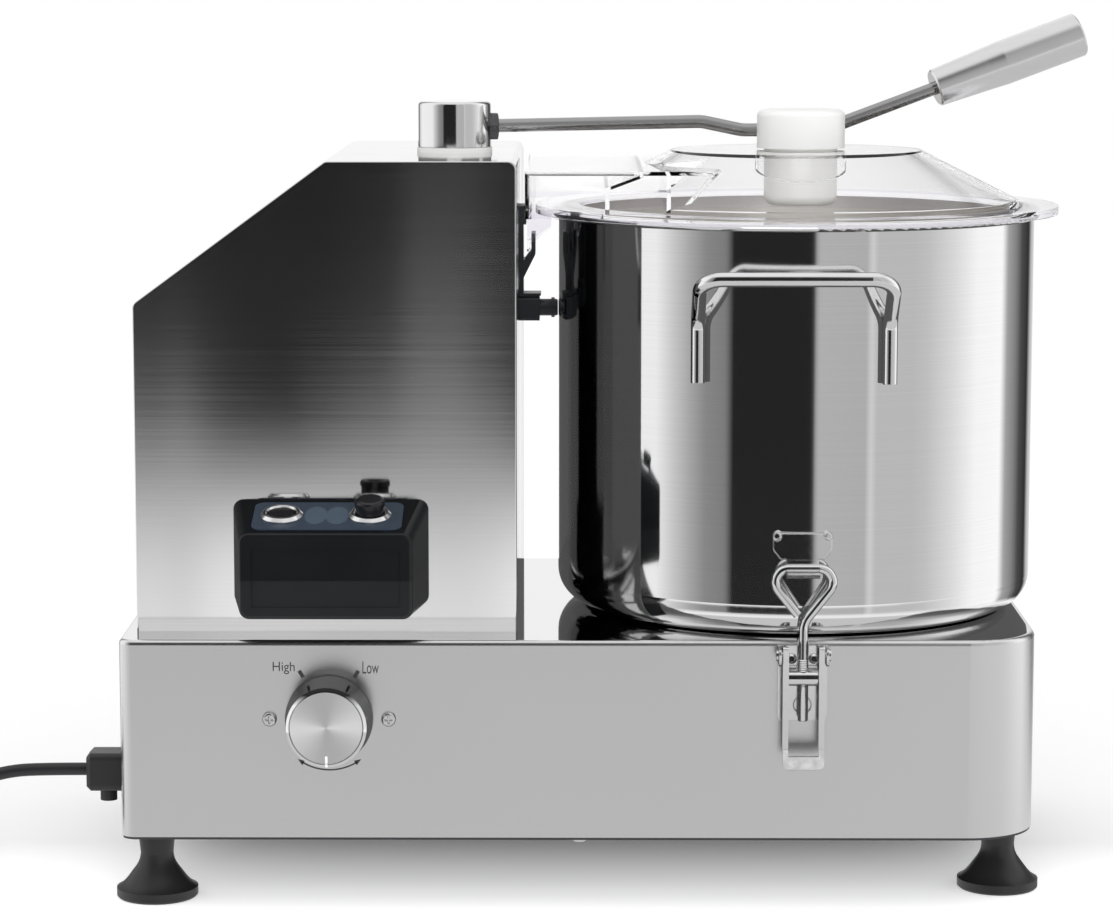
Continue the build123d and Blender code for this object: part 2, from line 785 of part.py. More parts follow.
def speed_switch():
    """The rotary switch behind the front panel, with its ears and threaded bush."""
    width, depth, height = switch_size
    body = Pos(0, 0, -sheet - depth / 2) * Box(width, height, depth)
    body = fillet(body.edges().filter_by(Axis.Z), 3)
    ears = Pos(0, 0, -2 * sheet + sheet / 2) * Box(switch_ear_length, switch_ear_height, sheet)
    bush = Pos(0, 0, -sheet + (bush_proud + sheet) / 2) * Cylinder(bush_radius, bush_proud + sheet)
    nut = extrude(RegularPolygon(7.4, 6), bush_proud)
    bore = Pos(0, 0, -switch_bore_depth) * Cylinder(
        spindle_radius + running_fit, through / 8, align=(Align.CENTER, Align.CENTER, Align.MIN))
    switch = knob_axis * (body + ears + bush + nut - bore)
    for hole in screw_holes():
        switch -= hole
    return switch


# ------------------------------------------------------------------ bowl
def bowl():
    """The bowl with its rounded foot, beaded rim and centre tube."""
    r, t, c = bowl_radius, bowl_wall, bowl_corner
    low = base_top
    mid = c * (1 - sqrt(0.5))
    inner_mid = t + (c - t) * (1 - sqrt(0.5))
    edges = [
        Polyline((tube_bore, 0, low), (r - c, 0, low)),
        ThreePointArc((r - c, 0, low), (r - mid, 0, low + mid), (r, 0, low + c)),
        Polyline((r, 0, low + c), (r, 0, bowl_rim), (r - t, 0, bowl_rim), (r - t, 0, low + c)),
        ThreePointArc((r - t, 0, low + c), (r - inner_mid, 0, low + inner_mid), (r - c, 0, low + t)),
        Polyline((r - c, 0, low + t), (tube_bore, 0, low + t), (tube_bore, 0, low)),
    ]
    wall = revolve(make_face([edge for line in edges for edge in line.edges()]), Axis.Z)
    bead_face = Plane.XZ * Pos(r + bead_radius * 0.5, bowl_rim - bead_radius) * Circle(bead_radius)
    tube = ring(tube_bore, tube_bore + tube_wall, (low, low + tube_height))
    return Pos(bowl_axis_x, 0, 0) * (wall + revolve(bead_face, Axis.Z) + tube)


def bowl_wall_y(x, beyond=0.0):
    """Y of the bowl's front at an X, at a distance outside its wall."""
    return -sqrt((bowl_radius + beyond) ** 2 - (x - bowl_axis_x) ** 2)


def bowl_handle():
    """The bent-rod handle, its legs welded along the wall."""
    left, right = handle_centre_x - handle_spread / 2, handle_centre_x + handle_spread / 2
    left_y, right_y = bowl_wall_y(left, handle_rod), bowl_wall_y(right, handle_rod)
    bar_y = -bowl_radius - handle_bar_reach
    points = [(left, left_y, handle_leg_bottom), (left, left_y, handle_leg_top),
              (left, bar_y, handle_bar_z), (right, bar_y, handle_bar_z),
              (right, right_y, handle_leg_top), (right, right_y, handle_leg_bottom)]
    return bent_rod(handle_rod, points, handle_bend)


catch_back = -bowl_radius - catch_standoff
catch_front = catch_back - catch_thickness
trough_radius = catch_front - barrel_y
trough_centre_z = loop_bar_z - loop_wire_radius - hook_clearance + trough_radius


def bowl_catch_plate():
    """The plate on the bowl whose turned-up foot the latch's loop pulls on."""
    half_top, half_neck = catch_top_width / 2, catch_neck_width / 2
    side_z = catch_top - catch_chamfer
    outline = [(-half_top, catch_top), (half_top, catch_top), (half_top, side_z),
               (half_neck, trough_centre_z), (-half_neck, trough_centre_z), (-half_top, side_z)]
    plate = side_profile([(catch_x + x, z) for x, z in outline], (catch_front, catch_back))
    corners = [edge for edge in plate.edges().filter_by(Axis.Y) if edge.center().Z > trough_centre_z + 1]
    plate = fillet(corners, catch_corner)
    axis_y = catch_front - trough_radius
    trough = Plane(origin=(catch_x, axis_y, trough_centre_z), z_dir=(1, 0, 0)) * (
        Cylinder(trough_radius + catch_thickness, catch_hook_width)
        - Cylinder(trough_radius, catch_hook_width + 2))
    lip_top = loop_bar_z - loop_wire_radius - hook_clearance + hook_lip_height
    everywhere = (catch_x - through, catch_x + through)
    trough -= block(everywhere, (axis_y - through, axis_y), (lip_top, 2 * through))
    trough -= block(everywhere, (axis_y, axis_y + through), (trough_centre_z, 2 * through))
    plate += trough
    for side in (-1, 1):
        x, z = catch_x + side * weld_bump_spread / 2, catch_top - weld_bump_drop
        seat_y = min(bowl_wall_y(x - weld_bump_radius), bowl_wall_y(x + weld_bump_radius))
        bump = bar(weld_bump_radius, (x, catch_front - weld_bump_height, z), (x, seat_y - seat_fit, z))
        plate += fillet(bump.edges().group_by(Axis.Y)[0], weld_bump_height * 0.9)
    return plate


# ------------------------------------------------------------------ toggle latch
def rivet_places():
    """The latch plate's three rivets, as X and Z."""
    half = rivet_spacing / 2
    return [(latch_x - half, rivet_z), (latch_x + half, rivet_z), (latch_x, low_rivet_z)]


def crosswise(radius, length, axis):
    """A bar across the latch, centred on it, at a Y and Z."""
    y, z = axis
    return bar(radius, (latch_x - length / 2, y, z), (latch_x + length / 2, y, z))


def latch_base_plate():
    """The latch's plate on the base, with two ears for the pivot."""
    half = latch_plate_width / 2
    low, high = latch_plate_top - latch_plate_height, latch_plate_top
    plate = block((latch_x - half, latch_x + half), (latch_plate_front, base_front), (low, high))
    plate = fillet(plate.edges().filter_by(Axis.Y).group_by(Axis.Z)[0], 3)
    plate -= bar(low_rivet_window, (latch_x, latch_plate_front - 1, low_rivet_z),
                 (latch_x, base_front - low_rivet_seat, low_rivet_z))
    for side in (-1, 1):
        outer, inner = latch_x + side * half, latch_x + side * (half - sheet)
        ear = block(sorted((inner, outer)), (pivot_y - latch_ear_reach / 2, latch_plate_front),
                    (pivot_z - latch_ear_height / 2, min(pivot_z + latch_ear_height / 2, high)))
        ear = fillet(ear.edges().filter_by(Axis.X).group_by(Axis.Y)[0], 3.5)
        plate += ear
    plate -= crosswise(pivot_radius + seat_fit, 2 * half + 2, (pivot_y, pivot_z))
    for x, z in rivet_places():
        plate -= bar(rivet_radius + screw_fit, (x, latch_plate_front - 1, z), (x, base_front + 1, z))
    return plate


def latch_rivets():
    """Three domed rivets through the plate and the base's front."""
    rivets = []
    for x, z in rivet_places():
        seat = base_front - low_rivet_seat if z == low_rivet_z else latch_plate_front
        end = seat - base_front - sheet - 2
        rivet = turned([(0, end), (rivet_radius, end),
                        (rivet_radius, 0), (rivet_head_radius, 0), (rivet_head_radius, rivet_head * 0.4),
                        (rivet_head_radius * 0.6, rivet_head), (0, rivet_head)])
        rivets.append(Plane(origin=(x, seat, z), z_dir=(0, -1, 0)) * rivet)
    return rivets


def latch_pivot_pins():
    """The two short pins that the lever turns on, headed outside the ears, clear of the stem."""
    outer, inner = latch_plate_width / 2, lever_width / 2 - sheet - pivot_inside
    pins = []
    for side in (-1, 1):
        start, seat = latch_x + side * inner, latch_x + side * outer
        pin = bar(pivot_radius, (start, pivot_y, pivot_z), (seat, pivot_y, pivot_z))
        pins.append(pin + bar(pivot_head_radius, (seat, pivot_y, pivot_z),
                              (seat + side * pivot_head, pivot_y, pivot_z)))
    return pins


def latch_lever():
    """The U-shaped lever: one folded sheet, open in the middle, with a flared end."""
    half = lever_width / 2
    front = pivot_y - lever_front_reach
    back = pivot_y + lever_lug_radius
    tip = front - lever_flare
    sides = [(back, pivot_z), (front, pivot_z), (front, lever_bend_z), (tip, lever_bottom),
             (tip + sheet, lever_bottom), (front + sheet * 1.6, lever_bend_z - 2),
             (back - 1.5, lever_bend_z + 6)]
    lever = end_profile(sides, (latch_x - half, latch_x + half))
    lug = crosswise(lever_lug_radius, lever_width, (pivot_y, pivot_z))
    lever += lug - block((latch_x - through, latch_x + through), (front - through, front), (0, through))
    channel = [(back + 5, pivot_z + 20), (front + sheet, pivot_z + 20), (front + sheet, lever_bend_z),
               (tip + sheet, lever_bottom), (tip + sheet, lever_bottom - 5), (back + 5, lever_bottom - 5)]
    lever -= end_profile(channel, (latch_x - half + sheet, latch_x + half - sheet))
    lever -= block((latch_x - lever_opening / 2, latch_x + lever_opening / 2), (front - 5, front + 2 * sheet),
                   (lever_opening_bottom, pivot_z + 20))
    foot_end = (front - through, front + sheet * 1.2)
    outer = block((latch_x - half, latch_x + half), foot_end, (lever_bottom, pivot_z))
    rounded = fillet(outer.edges().filter_by(Axis.Y).group_by(Axis.Z)[0], lever_corner)
    lever -= outer - rounded
    lever -= crosswise(pivot_radius + running_fit, lever_width + 2, (pivot_y, pivot_z))
    return lever - crosswise(barrel_pin_radius + running_fit, lever_width + 2, (barrel_y, barrel_z))


def latch_barrel():
    """The cross barrel that the hook bolt screws through."""
    axis = (barrel_y, barrel_z)
    barrel = crosswise(barrel_radius, barrel_length, axis) + crosswise(barrel_pin_radius, lever_width, axis)
    return barrel - bar(stem_bolt_radius + seat_fit, (latch_x, barrel_y, barrel_z - 2 * barrel_radius),
                        (latch_x, barrel_y, barrel_z + 2 * barrel_radius))


def latch_bail():
    """The hook bolt: a threaded stem whose wire turns into an open loop."""
    stem = bar(stem_bolt_radius, (latch_x, barrel_y, stem_bottom), (latch_x, barrel_y, stem_top))
    stem = chamfer(stem.edges().group_by(Axis.Z)[0], 0.7)
    wire = [(0, stem_top), (0, loop_fork_z), (loop_corner_x, loop_bar_z),
            (-loop_corner_x, loop_bar_z), loop_end]
    points = [(latch_x + x, barrel_y, z) for x, z in wire]
    return stem + bent_rod(loop_wire_radius, points, [loop_fork_bend, loop_bend, loop_bend])


# ------------------------------------------------------------------ lid hook and bowl switch
def lid_hook():
    """The hook on the housing's wall that the lid's tongue drops into."""
    wall = housing_right
    strip, arm = wall + hook_strip, wall + hook_reach
    outline = [(wall, hook_bottom), (strip, hook_bottom), (strip, hook_arm_start_z), (arm, hook_arm_bend_z),
               (arm, hook_arm_top_z), (arm - hook_arm, hook_arm_top_z), (arm - hook_arm, hook_slot_z + 5.5),
               (strip + 0.8, hook_slot_z), (strip, hook_slot_z), (strip, hook_top - hook_head_height),
               (wall + hook_head, hook_top - hook_head_height), (wall + hook_head, hook_top),
               (wall, hook_top)]
    return side_profile(outline, (-hook_width / 2, hook_width / 2))


def bowl_switch_block():
    """The guide of the bowl switch's plunger."""
    low, high = switch_block_z
    half = switch_block_width / 2
    reach = housing_right + switch_block_reach
    cap_low = high - switch_cap_thickness
    guide = block((housing_right, reach), (-half, half), (low, cap_low - switch_cap_step))
    guide = fillet(guide.edges().filter_by(Axis.X), 2)
    neck = half * 0.8
    guide += block((housing_right, reach), (-neck, neck), (cap_low - 2 * switch_cap_step, cap_low))
    guide += block((housing_right, reach + switch_cap_step), (-half, half), (cap_low, high))
    return guide - bar(plunger_radius + moving_gap, (housing_right - 1, 0, plunger_z),
                       (reach + 2, 0, plunger_z))


def bowl_plunger():
    """The sprung pin that the bowl holds in."""
    tip = bowl_axis_x - bowl_radius - moving_gap
    inside = housing_right - sheet - plunger_inside
    flange = housing_right - sheet - plunger_travel * 2
    gap, thick = plunger_collar
    pin = bar(plunger_radius, (inside, 0, plunger_z), (tip, 0, plunger_z))
    pin = chamfer(pin.edges().group_by(Axis.X)[-1], 0.8)
    pin += bar(plunger_collar_radius, (tip - gap - thick, 0, plunger_z), (tip - gap, 0, plunger_z))
    return pin + bar(plunger_flange_radius, (flange - 2, 0, plunger_z), (flange, 0, plunger_z))


# ------------------------------------------------------------------ lever arm
arm_frame = Pos(post_x, 0, 0) * Rot(0, 0, arm_angle)


def rod_bore(start_x, end_x):
    """The bore for the rod's first run, which rises slightly towards its hump."""
    slope = (rod_hump[1] - rod_z) / (rod_hump[0] - rod_root)
    start, end = [(x, 0, rod_z + slope * (x - rod_root)) for x in (start_x, end_x)]
    return bar(rod_radius + seat_fit, start, end)


def lever_post():
    """The post with its spindle, spot-faced and bored for the rod."""
    post = turned([(0, spindle_end), (post_spindle_radius, spindle_end), (post_spindle_radius, post_bottom),
                   (post_radius, post_bottom), (post_radius, post_top), (0, post_top)])
    post = fillet(post.edges().group_by(Axis.Z)[-1], post_edge)
    post -= bar(post_flat_radius, (post_flat_x, 0, rod_z), (post_radius + 5, 0, rod_z))
    return arm_frame * (post - rod_bore(rod_root, post_radius))


def lever_nut():
    """The hexagon nut that locks the rod to the post."""
    plane = Plane(origin=(post_flat_x, 0, rod_z), x_dir=(0, 1, 0), z_dir=(1, 0, 0))
    nut = extrude(plane * RegularPolygon(nut_across_flats / 2, 6, major_radius=False), nut_thickness)
    nut &= Plane(origin=(post_flat_x, 0, rod_z), z_dir=(1, 0, 0)) * turned(
        [(0, 0), (nut_across_flats / 2 + 0.9, 0), (nut_across_flats / 2 + 0.9, nut_thickness - 0.8),
         (nut_across_flats / 2, nut_thickness), (0, nut_thickness)])
    return arm_frame * (nut - rod_bore(rod_root, 2 * post_radius))


def grip_direction():
    """Unit direction of the grip's axis, in the arm's own XZ plane."""
    run, rise = grip_end[0] - rod_grip_start[0], grip_end[1] - rod_grip_start[1]
    length = hypot(run, rise)
    return run / length, rise / length, length


def lever_rod():
    """The bent rod, from inside the post to inside the grip."""
    run, rise, _ = grip_direction()
    end = (rod_grip_start[0] + rod_in_grip * run, rod_grip_start[1] + rod_in_grip * rise)
    turn_up = (rod_grip_start[0] - (rod_grip_start[1] - rod_low_z) * run / rise, rod_low_z)
    points = [(rod_root, rod_z), rod_hump, rod_dip, turn_up, end]
    return arm_frame * bent_rod(rod_radius, [(x, 0, z) for x, z in points], rod_bend)


def lever_grip():
    """The turned aluminium grip: a taper that runs into a straight barrel."""
    run, rise, length = grip_direction()
    small, large = grip_small_radius, grip_large_radius
    hole = rod_in_grip + 1
    bore = rod_radius + seat_fit
    taper = length * grip_taper_share
    grip = turned([(bore, 0), (small - 1, 0), (small, 1), (large - 0.6, taper), (large, taper * 1.3),
                   (large, length), (0, length), (0, hole), (bore, hole)])
    grip = fillet(grip.edges().group_by(Axis.Z)[-1], grip_edge)
    plane = Plane(origin=(rod_grip_start[0], 0, rod_grip_start[1]), z_dir=(run, 0, rise))
    return arm_frame * (plane * grip)


def post_washer():
    """The nylon washer that the post turns on."""
    return ring(post_spindle_radius + 2 * running_fit, washer_radius, (housing_top, washer_top), (post_x, 0))


def post_bushing():
    """The flanged bush of the post's spindle, from below the housing's top."""
    under = housing_top - sheet
    bore = post_spindle_radius + running_fit
    return turned([(bore, under - bush_depth), (bush_neck_radius, under - bush_depth),
                   (bush_neck_radius, under - bush_flange), (bush_flange_radius, under - bush_flange),
                   (bush_flange_radius, under), (bush_neck_radius, under), (bush_neck_radius, housing_top),
                   (bore, housing_top)], (post_x, 0))


def interlock_cam():
    """The cam on the spindle that works the lid switch."""
    cam = ring(post_spindle_radius + seat_fit, cam_radius, (cam_z, cam_z + cam_thickness))
    flat = block((-through, through), (cam_flat, through), (cam_z - 1, cam_z + cam_thickness + 1))
    return arm_frame * Rot(0, 0, 90 - arm_angle_range) * (cam - flat)


def interlock_switch():
    """The lid switch on its bracket, its roller at the cam."""
    under = housing_top - sheet
    roller_radius = 4.0
    roller_x = post_x - cam_radius - moving_gap - roller_radius
    body_right = roller_x - 5.0
    switch = block((body_right - 12, body_right), (-14, 14), (cam_z - 2, cam_z + cam_thickness + 2))
    switch += block((body_right - 13.5, body_right - 12), (-14, 14), (cam_z - 2, under))
    switch += block((body_right - 28, body_right - 12), (-14, 14), (under - sheet, under))
    switch += block((body_right, roller_x), (-1.5, 1.5), (cam_z, cam_z + cam_thickness))
    return switch + bar(roller_radius, (roller_x, 0, cam_z), (roller_x, 0, cam_z + cam_thickness))


# ------------------------------------------------------------------ lid and stopper
def lid():
    """The clear lid: a dished cover with a hood towards the housing, a feed collar and a tongue."""
    t, z0 = lid_thickness, lid_under
    (low_r, low_h), (high_r, high_h) = lid_cone_low, lid_cone_high
    centre = (bowl_axis_x, 0)
    dish = turned([(0, z0), (low_r + 4, z0), (low_r + 3, z0 + lid_flange_thickness), (low_r, z0 + low_h),
                   (high_r, z0 + high_h), (0, z0 + high_h)], centre)
    dish_inside = turned([(0, z0 - 5), (low_r - t, z0 - 5), (low_r - t, z0 + low_h - 1),
                          (high_r - 1, z0 + high_h - t), (0, z0 + high_h - t)], centre)
    right_low, right_top = hood_right_low, hood_right_top
    hood = side_profile([(hood_left, z0), (hood_left, z0 + hood_height), (right_top, z0 + hood_height),
                         (right_low, z0 + hood_bend_height), (right_low, z0)],
                        (-hood_half_width, hood_half_width))
    hood = fillet(hood.edges().filter_by(Axis.Z).group_by(Axis.X)[0], 8)
    ceiling = z0 + hood_height - t
    hood_inside = side_profile([(hood_left + t, z0 - 5), (hood_left + t, ceiling),
                                (right_top - 1.6 * t, ceiling), (right_low - t, z0 + hood_bend_height),
                                (right_low - t, z0 - 5)], (-hood_half_width + t, hood_half_width - t))
    hood_inside = fillet(hood_inside.edges().filter_by(Axis.Z).group_by(Axis.X)[0], 8 - t)
    cover = dish + hood - dish_inside - hood_inside
    cover += ring(lid_flange_bore, lid_flange_radius, (z0, z0 + lid_flange_thickness), centre)
    cover += ring(lid_flange_radius - lid_lip_width, lid_flange_radius, (z0 - lid_lip_height, z0), centre)
    cover += ring(skirt_radius - skirt_wall, skirt_radius, (z0 - skirt_depth, z0), centre)
    (x0, h0), (x1, h1), (x2, h2) = [(bowl_axis_x + x, h) for x, h in baffle]
    baffle_outline = [(x0, z0 + h0), (x1, z0 + h1), (x2, z0 + h2), (x2 + t, z0 + h2), (x1 + t, z0 + h1 - 1),
                      (x0 + t, z0 + h0 - 1), (x0 + t, z0 + h0)]
    inner_half = hood_half_width - t
    cover += side_profile(baffle_outline, (-inner_half, inner_half))
    cover += block((rib_x, rib_x + t), (-inner_half, inner_half), (ceiling - rib_height, ceiling))
    return cover_with_feed(cover) + lid_tongue()


def cover_with_feed(cover):
    """Add the slanted feed collar and open the hole for the stopper."""
    inner = collar_radius - collar_wall
    collar = ring(inner, collar_radius, (lid_top - collar_depth, lid_top), (feed_x, 0))
    slant = Pos(feed_x, 0, lid_top - collar_depth) * Rot(collar_slant, 0, 0) * Box(
        through, through, 2 * collar_radius * sin(radians(collar_slant)))
    cover += collar - slant
    return cover - bar(inner, (feed_x, 0, lid_top - through / 8), (feed_x, 0, lid_top + 5))


def lid_tongue():
    """Two webs and a bar that drop into the lid hook."""
    web = [(tongue_left, lid_under + 1), (tongue_left, tongue_tip_z + 1.5), (tongue_left + 1, tongue_tip_z),
           (tongue_right, tongue_tip_z + 2.0), (tongue_right, tongue_bar_top - 2),
           (tongue_root, tongue_root_z), (tongue_root, lid_under + 1)]
    half = tongue_thickness / 2
    webs = [side_profile(web, (y - half, y + half)) for y in (-tongue_offset, tongue_offset)]
    tip = side_profile([(tongue_left, tongue_bar_top), (tongue_left, tongue_tip_z + 1.5),
                        (tongue_left + 1, tongue_tip_z), (tongue_right, tongue_tip_z + 2.0),
                        (tongue_right, tongue_bar_top)], (-tongue_offset, tongue_offset))
    return webs[0] + webs[1] + tip


def stopper():
    """The white feed stopper with its head resting on the feed opening's edge."""
    head_low = lid_top + stopper_gap
    head_top = head_low + stopper_head_height
    foot_z = lid_top - stopper_body_depth
    body = turned([(0, foot_z), (stopper_body_radius, foot_z), (stopper_body_radius, head_low),
                   (stopper_head_radius, head_low), (stopper_head_radius, head_top), (0, head_top)])
    body = fillet(body.edges().group_by(Axis.Z)[-1], stopper_edge)
    body = fillet(body.edges().group_by(Axis.Z)[0], stopper_edge * 1.5)
    return Pos(feed_x, 0, 0) * body


# ------------------------------------------------------------------ drive
bearing_top = deck_underside - housing_flange / 2
bearing_seats = [bearing_top - bearing_width, bearing_top - 2 * bearing_width - bearing_gap]


def bearing_housing():
    """The spindle's housing under the deck, with a spigot that the bowl's tube fits over."""
    low = bearing_seats[1]
    body = turned([(bearing_radius - 4, low), (housing_body_radius, low),
                   (housing_body_radius, deck_underside - housing_flange),
                   (housing_flange_radius, deck_underside - housing_flange),
                   (housing_flange_radius, deck_underside), (spigot_radius, deck_underside),
                   (spigot_radius, base_top + spigot_height), (spigot_bore, base_top + spigot_height),
                   (spigot_bore, low)])
    for seat in bearing_seats:
        body -= ring(spigot_bore - 1, bearing_radius + seat_fit, (seat, seat + bearing_width))
    body -= ring(spigot_bore - 1, bearing_radius - 4, (low - 1, bearing_top - bearing_width / 2))
    return Pos(bowl_axis_x, 0, 0) * body


def shaft_bearings():
    """The spindle's two ball bearings, as closed rings."""
    return [ring(shaft_radius + running_fit, bearing_radius, (seat, seat + bearing_width), (bowl_axis_x, 0))
            for seat in bearing_seats]


def flatted(radius, across, z_range):
    """A round bar with two flats."""
    low, high = z_range
    round_bar = bar(radius, (0, 0, low), (0, 0, high))
    return round_bar & block((-through, through), (-across / 2, across / 2), z_range)


def drive_shaft():
    """The spindle, flatted at the top where it drives the knives."""
    shaft = bar(shaft_radius, (0, 0, shaft_bottom), (0, 0, shaft_flat_z))
    shaft += flatted(shaft_radius, shaft_across_flats, (shaft_flat_z, shaft_top))
    shaft = chamfer(shaft.edges().group_by(Axis.Z)[0], 1)
    return Pos(bowl_axis_x, 0, 0) * shaft


def pulley(radius, bore, centre):
    """A flanged flat-belt pulley, dished between rim and hub."""
    low, high = pulley_z
    rim = radius + pulley_flange_rise
    middle = (low + high) / 2
    points = [(bore + seat_fit, low), (rim, low), (rim, low + pulley_flange), (radius, low + pulley_flange),
              (radius, high - pulley_flange), (rim, high - pulley_flange), (rim, high)]
    if radius > 3 * bore:
        points += [(radius - 6, high), (radius - 9, middle + 3), (bore + 10, middle + 3), (bore + 8, high)]
    points += [(bore + seat_fit, high)]
    return turned(points, centre)


def drive_belt():
    """The belt round both pulleys, just off their faces."""
    low, high = pulley_z
    spans = (low + pulley_flange + moving_gap, high - pulley_flange - moving_gap)
    axes = ((motor_x, motor_y, motor_pulley_radius), (bowl_axis_x, 0, driven_pulley_radius))
    inside = (spans[0] - 1, spans[1] + 1)
    return stadium(spans, moving_gap + belt_thickness, axes) - stadium(inside, moving_gap, axes)


def motor_casing():
    """The motor's finned casing on its square flange, hollow for the rotor."""
    low = base_top
    top = low + motor_height
    wall, bore = motor_wall, motor_shaft_radius + running_fit
    inner = rotor_radius + stator_gap
    cavity_low, cavity_high = low + 3 * wall, top - 2 * wall
    body = turned([(bore, low - 12), (motor_spigot_radius, low - 12), (motor_spigot_radius, low),
                   (motor_radius, low), (motor_radius, top - 6), (motor_radius - 6, top), (bore, top),
                   (bore, cavity_high), (inner, cavity_high), (inner, cavity_low), (bore, cavity_low)])
    half = motor_flange_size / 2
    flange = block((-half, half), (-half, half), (low, low + motor_flange))
    flange = fillet(flange.edges().filter_by(Axis.Z), 12)
    flange -= bar(motor_radius - 1, (0, 0, low - 1), (0, 0, low + motor_flange + 1))
    for corner in range(4):
        flange -= Rot(0, 0, 45 + 90 * corner) * Pos(half * 1.18, 0, low) * Cylinder(4.2, 4 * motor_flange)
    body += flange
    groove = block((motor_radius - fin_depth, motor_radius + 5), (-fin_width / 2, fin_width / 2),
                   (low + motor_flange + 12, top - 22))
    for fin in range(fin_count):
        body -= Rot(0, 0, 360 * fin / fin_count) * groove
    return Pos(motor_x, motor_y, 0) * body


def motor_rotor():
    """The rotor and its shaft."""
    middle = base_top + motor_height / 2 + motor_wall / 2
    low, high = middle - rotor_height / 2, middle + rotor_height / 2
    r = motor_shaft_radius
    return turned([(0, motor_shaft_bottom), (r, motor_shaft_bottom), (r, low), (rotor_radius, low),
                   (rotor_radius, high), (r, high), (r, motor_shaft_top), (0, motor_shaft_top)],
                  (motor_x, motor_y))


def motor_fan():
    """The cooling fan above the motor."""
    low = base_top + motor_height + fan_above_motor
    fan = ring(motor_shaft_radius + seat_fit, fan_hub_radius, (low, low + fan_height))
    fan += ring(motor_shaft_radius + seat_fit, fan_radius, (low, low + 2))
    vane = block((fan_hub_radius - 1, fan_radius - 1), (-1, 1), (low, low + fan_height))
    for blade in range(fan_blades):
        fan += Rot(0, 0, 360 * blade / fan_blades) * vane
    return Pos(motor_x, motor_y, 0) * fan


def run_capacitor():
    """The motor's run capacitor, standing on the deck."""
    low, high = base_top, base_top + capacitor_height
    can = turned([(0, low), (capacitor_radius, low), (capacitor_radius, high - 4),
                  (capacitor_radius - 2, high - 2), (capacitor_radius - 2, high), (0, high)],
                 (capacitor_x, capacitor_y))
    for side in (-1, 1):
        can += block((capacitor_x + side * 7 - 3, capacitor_x + side * 7 + 3),
                     (capacitor_y - 0.4, capacitor_y + 0.4), (high - 1, high + 9))
    return can


# ------------------------------------------------------------------ knife set
def knife_hub():
    """The sleeve over the bowl's tube, driven by the shaft's flats."""
    drive_low = shaft_flat_z + 6
    hub = turned([(hub_bore, hub_bottom), (hub_flange_radius, hub_bottom),
                  (hub_flange_radius, hub_bottom + hub_flange), (hub_radius, hub_bottom + hub_flange),
                  (hub_radius, hub_top - 10), (hub_radius - 6, hub_top - 1), (hub_radius - 8, hub_top),
                  (0, hub_top), (0, drive_low), (hub_bore, drive_low)])
    bore = flatted(shaft_radius + running_fit, shaft_across_flats + 2 * running_fit,
                   (drive_low - 1, shaft_top + 2))
    return Pos(bowl_axis_x, 0, 0) * (hub - bore)


def blade(z, turn):
    """A two-winged sickle blade, thin at its outer edge."""
    def at(radius, angle):
        return radius * cos(radians(angle)), radius * sin(radians(angle))

    tip = at(blade_reach, -blade_sweep)
    lead = ThreePointArc(at(blade_root, 28), at(blade_reach * 0.66, -8), tip)
    trail = ThreePointArc(tip, at(blade_reach * 0.52, -44), at(blade_root, -64))
    root = Polyline(at(blade_root, -64), (0, 0), at(blade_root, 28))
    wing = make_face([*lead.edges(), *trail.edges(), *root.edges()])
    plan = Circle(blade_root) + wing + Rot(0, 0, 180) * wing - Circle(hub_radius + seat_fit)
    flat = extrude(plan, blade_thickness)
    return Pos(bowl_axis_x, 0, z) * Rot(0, 0, turn) * flat


def knife_spacer():
    """The sleeve between the two blades."""
    low = hub_bottom + hub_flange + blade_thickness
    return ring(hub_radius + seat_fit, clamp_radius, (low, low + spacer_height), (bowl_axis_x, 0))


def knife_clamp():
    """The fluted collar that holds the blades down."""
    low = hub_bottom + hub_flange + 2 * blade_thickness + spacer_height
    collar = ring(hub_radius + seat_fit, clamp_radius, (low, low + clamp_height))
    cutter = Pos(clamp_radius + 4, 0, low + clamp_height / 2 + 3) * Cylinder(6, clamp_height)
    for flute in range(clamp_flutes):
        collar -= Rot(0, 0, 360 * flute / clamp_flutes) * cutter
    return Pos(bowl_axis_x, 0, 0) * collar


# ------------------------------------------------------------------ cable
def cable_gland():
    """The clamp block on the base's left end, with its neck and lock nut inside."""
    outer, half_w, half_h = base_left - gland_reach, gland_width / 2, gland_height / 2
    body = block((outer, base_left), (gland_y - half_w, gland_y + half_w),
                 (gland_z - half_h, gland_z + half_h))
    body = fillet(body.edges().filter_by(Axis.X), 4)
    body = chamfer(body.faces().sort_by(Axis.X)[0].edges(), 2.5)
    low, clamp_x = gland_z - half_h, outer + gland_reach / 2
    body += bar(gland_clamp_radius, (clamp_x, gland_y, low - gland_clamp_drop), (clamp_x, gland_y, low + 4))
    body += bar(gland_neck_radius, (base_left, gland_y, gland_z),
                (base_left + gland_neck_length, gland_y, gland_z))
    nut = Plane(origin=(base_left + sheet, gland_y, gland_z), z_dir=(1, 0, 0)) * RegularPolygon(12, 6)
    return body + extrude(nut, 5)


def power_cord():
    """The free stretch of cord from the gland down to the coil."""
    points = [Vector(*p) for p in cord_route]
    radii = []
    for before, here, after in zip(points, points[1:], points[2:]):
        turn = radians((here - before).get_angle(after - here))
        shorter = min((here - before).length, (after - here).length)
        radii.append(0.45 * shorter / tan(turn / 2))
    print("cord radii", [round(radius) for radius in radii])
    return bent_rod(cord_radius, cord_route, radii)


def cord_coil():
    """The outer shape of the put-away turns."""
    pitch = 2 * cord_radius
    reach = (coil_rings - 1) / 2 * pitch + cord_radius
    height = pitch * coil_layers
    coil = ring(coil_turn_radius - reach, coil_turn_radius + reach, (0, height), coil_centre)
    return fillet(coil.edges(), cord_radius * 0.8)


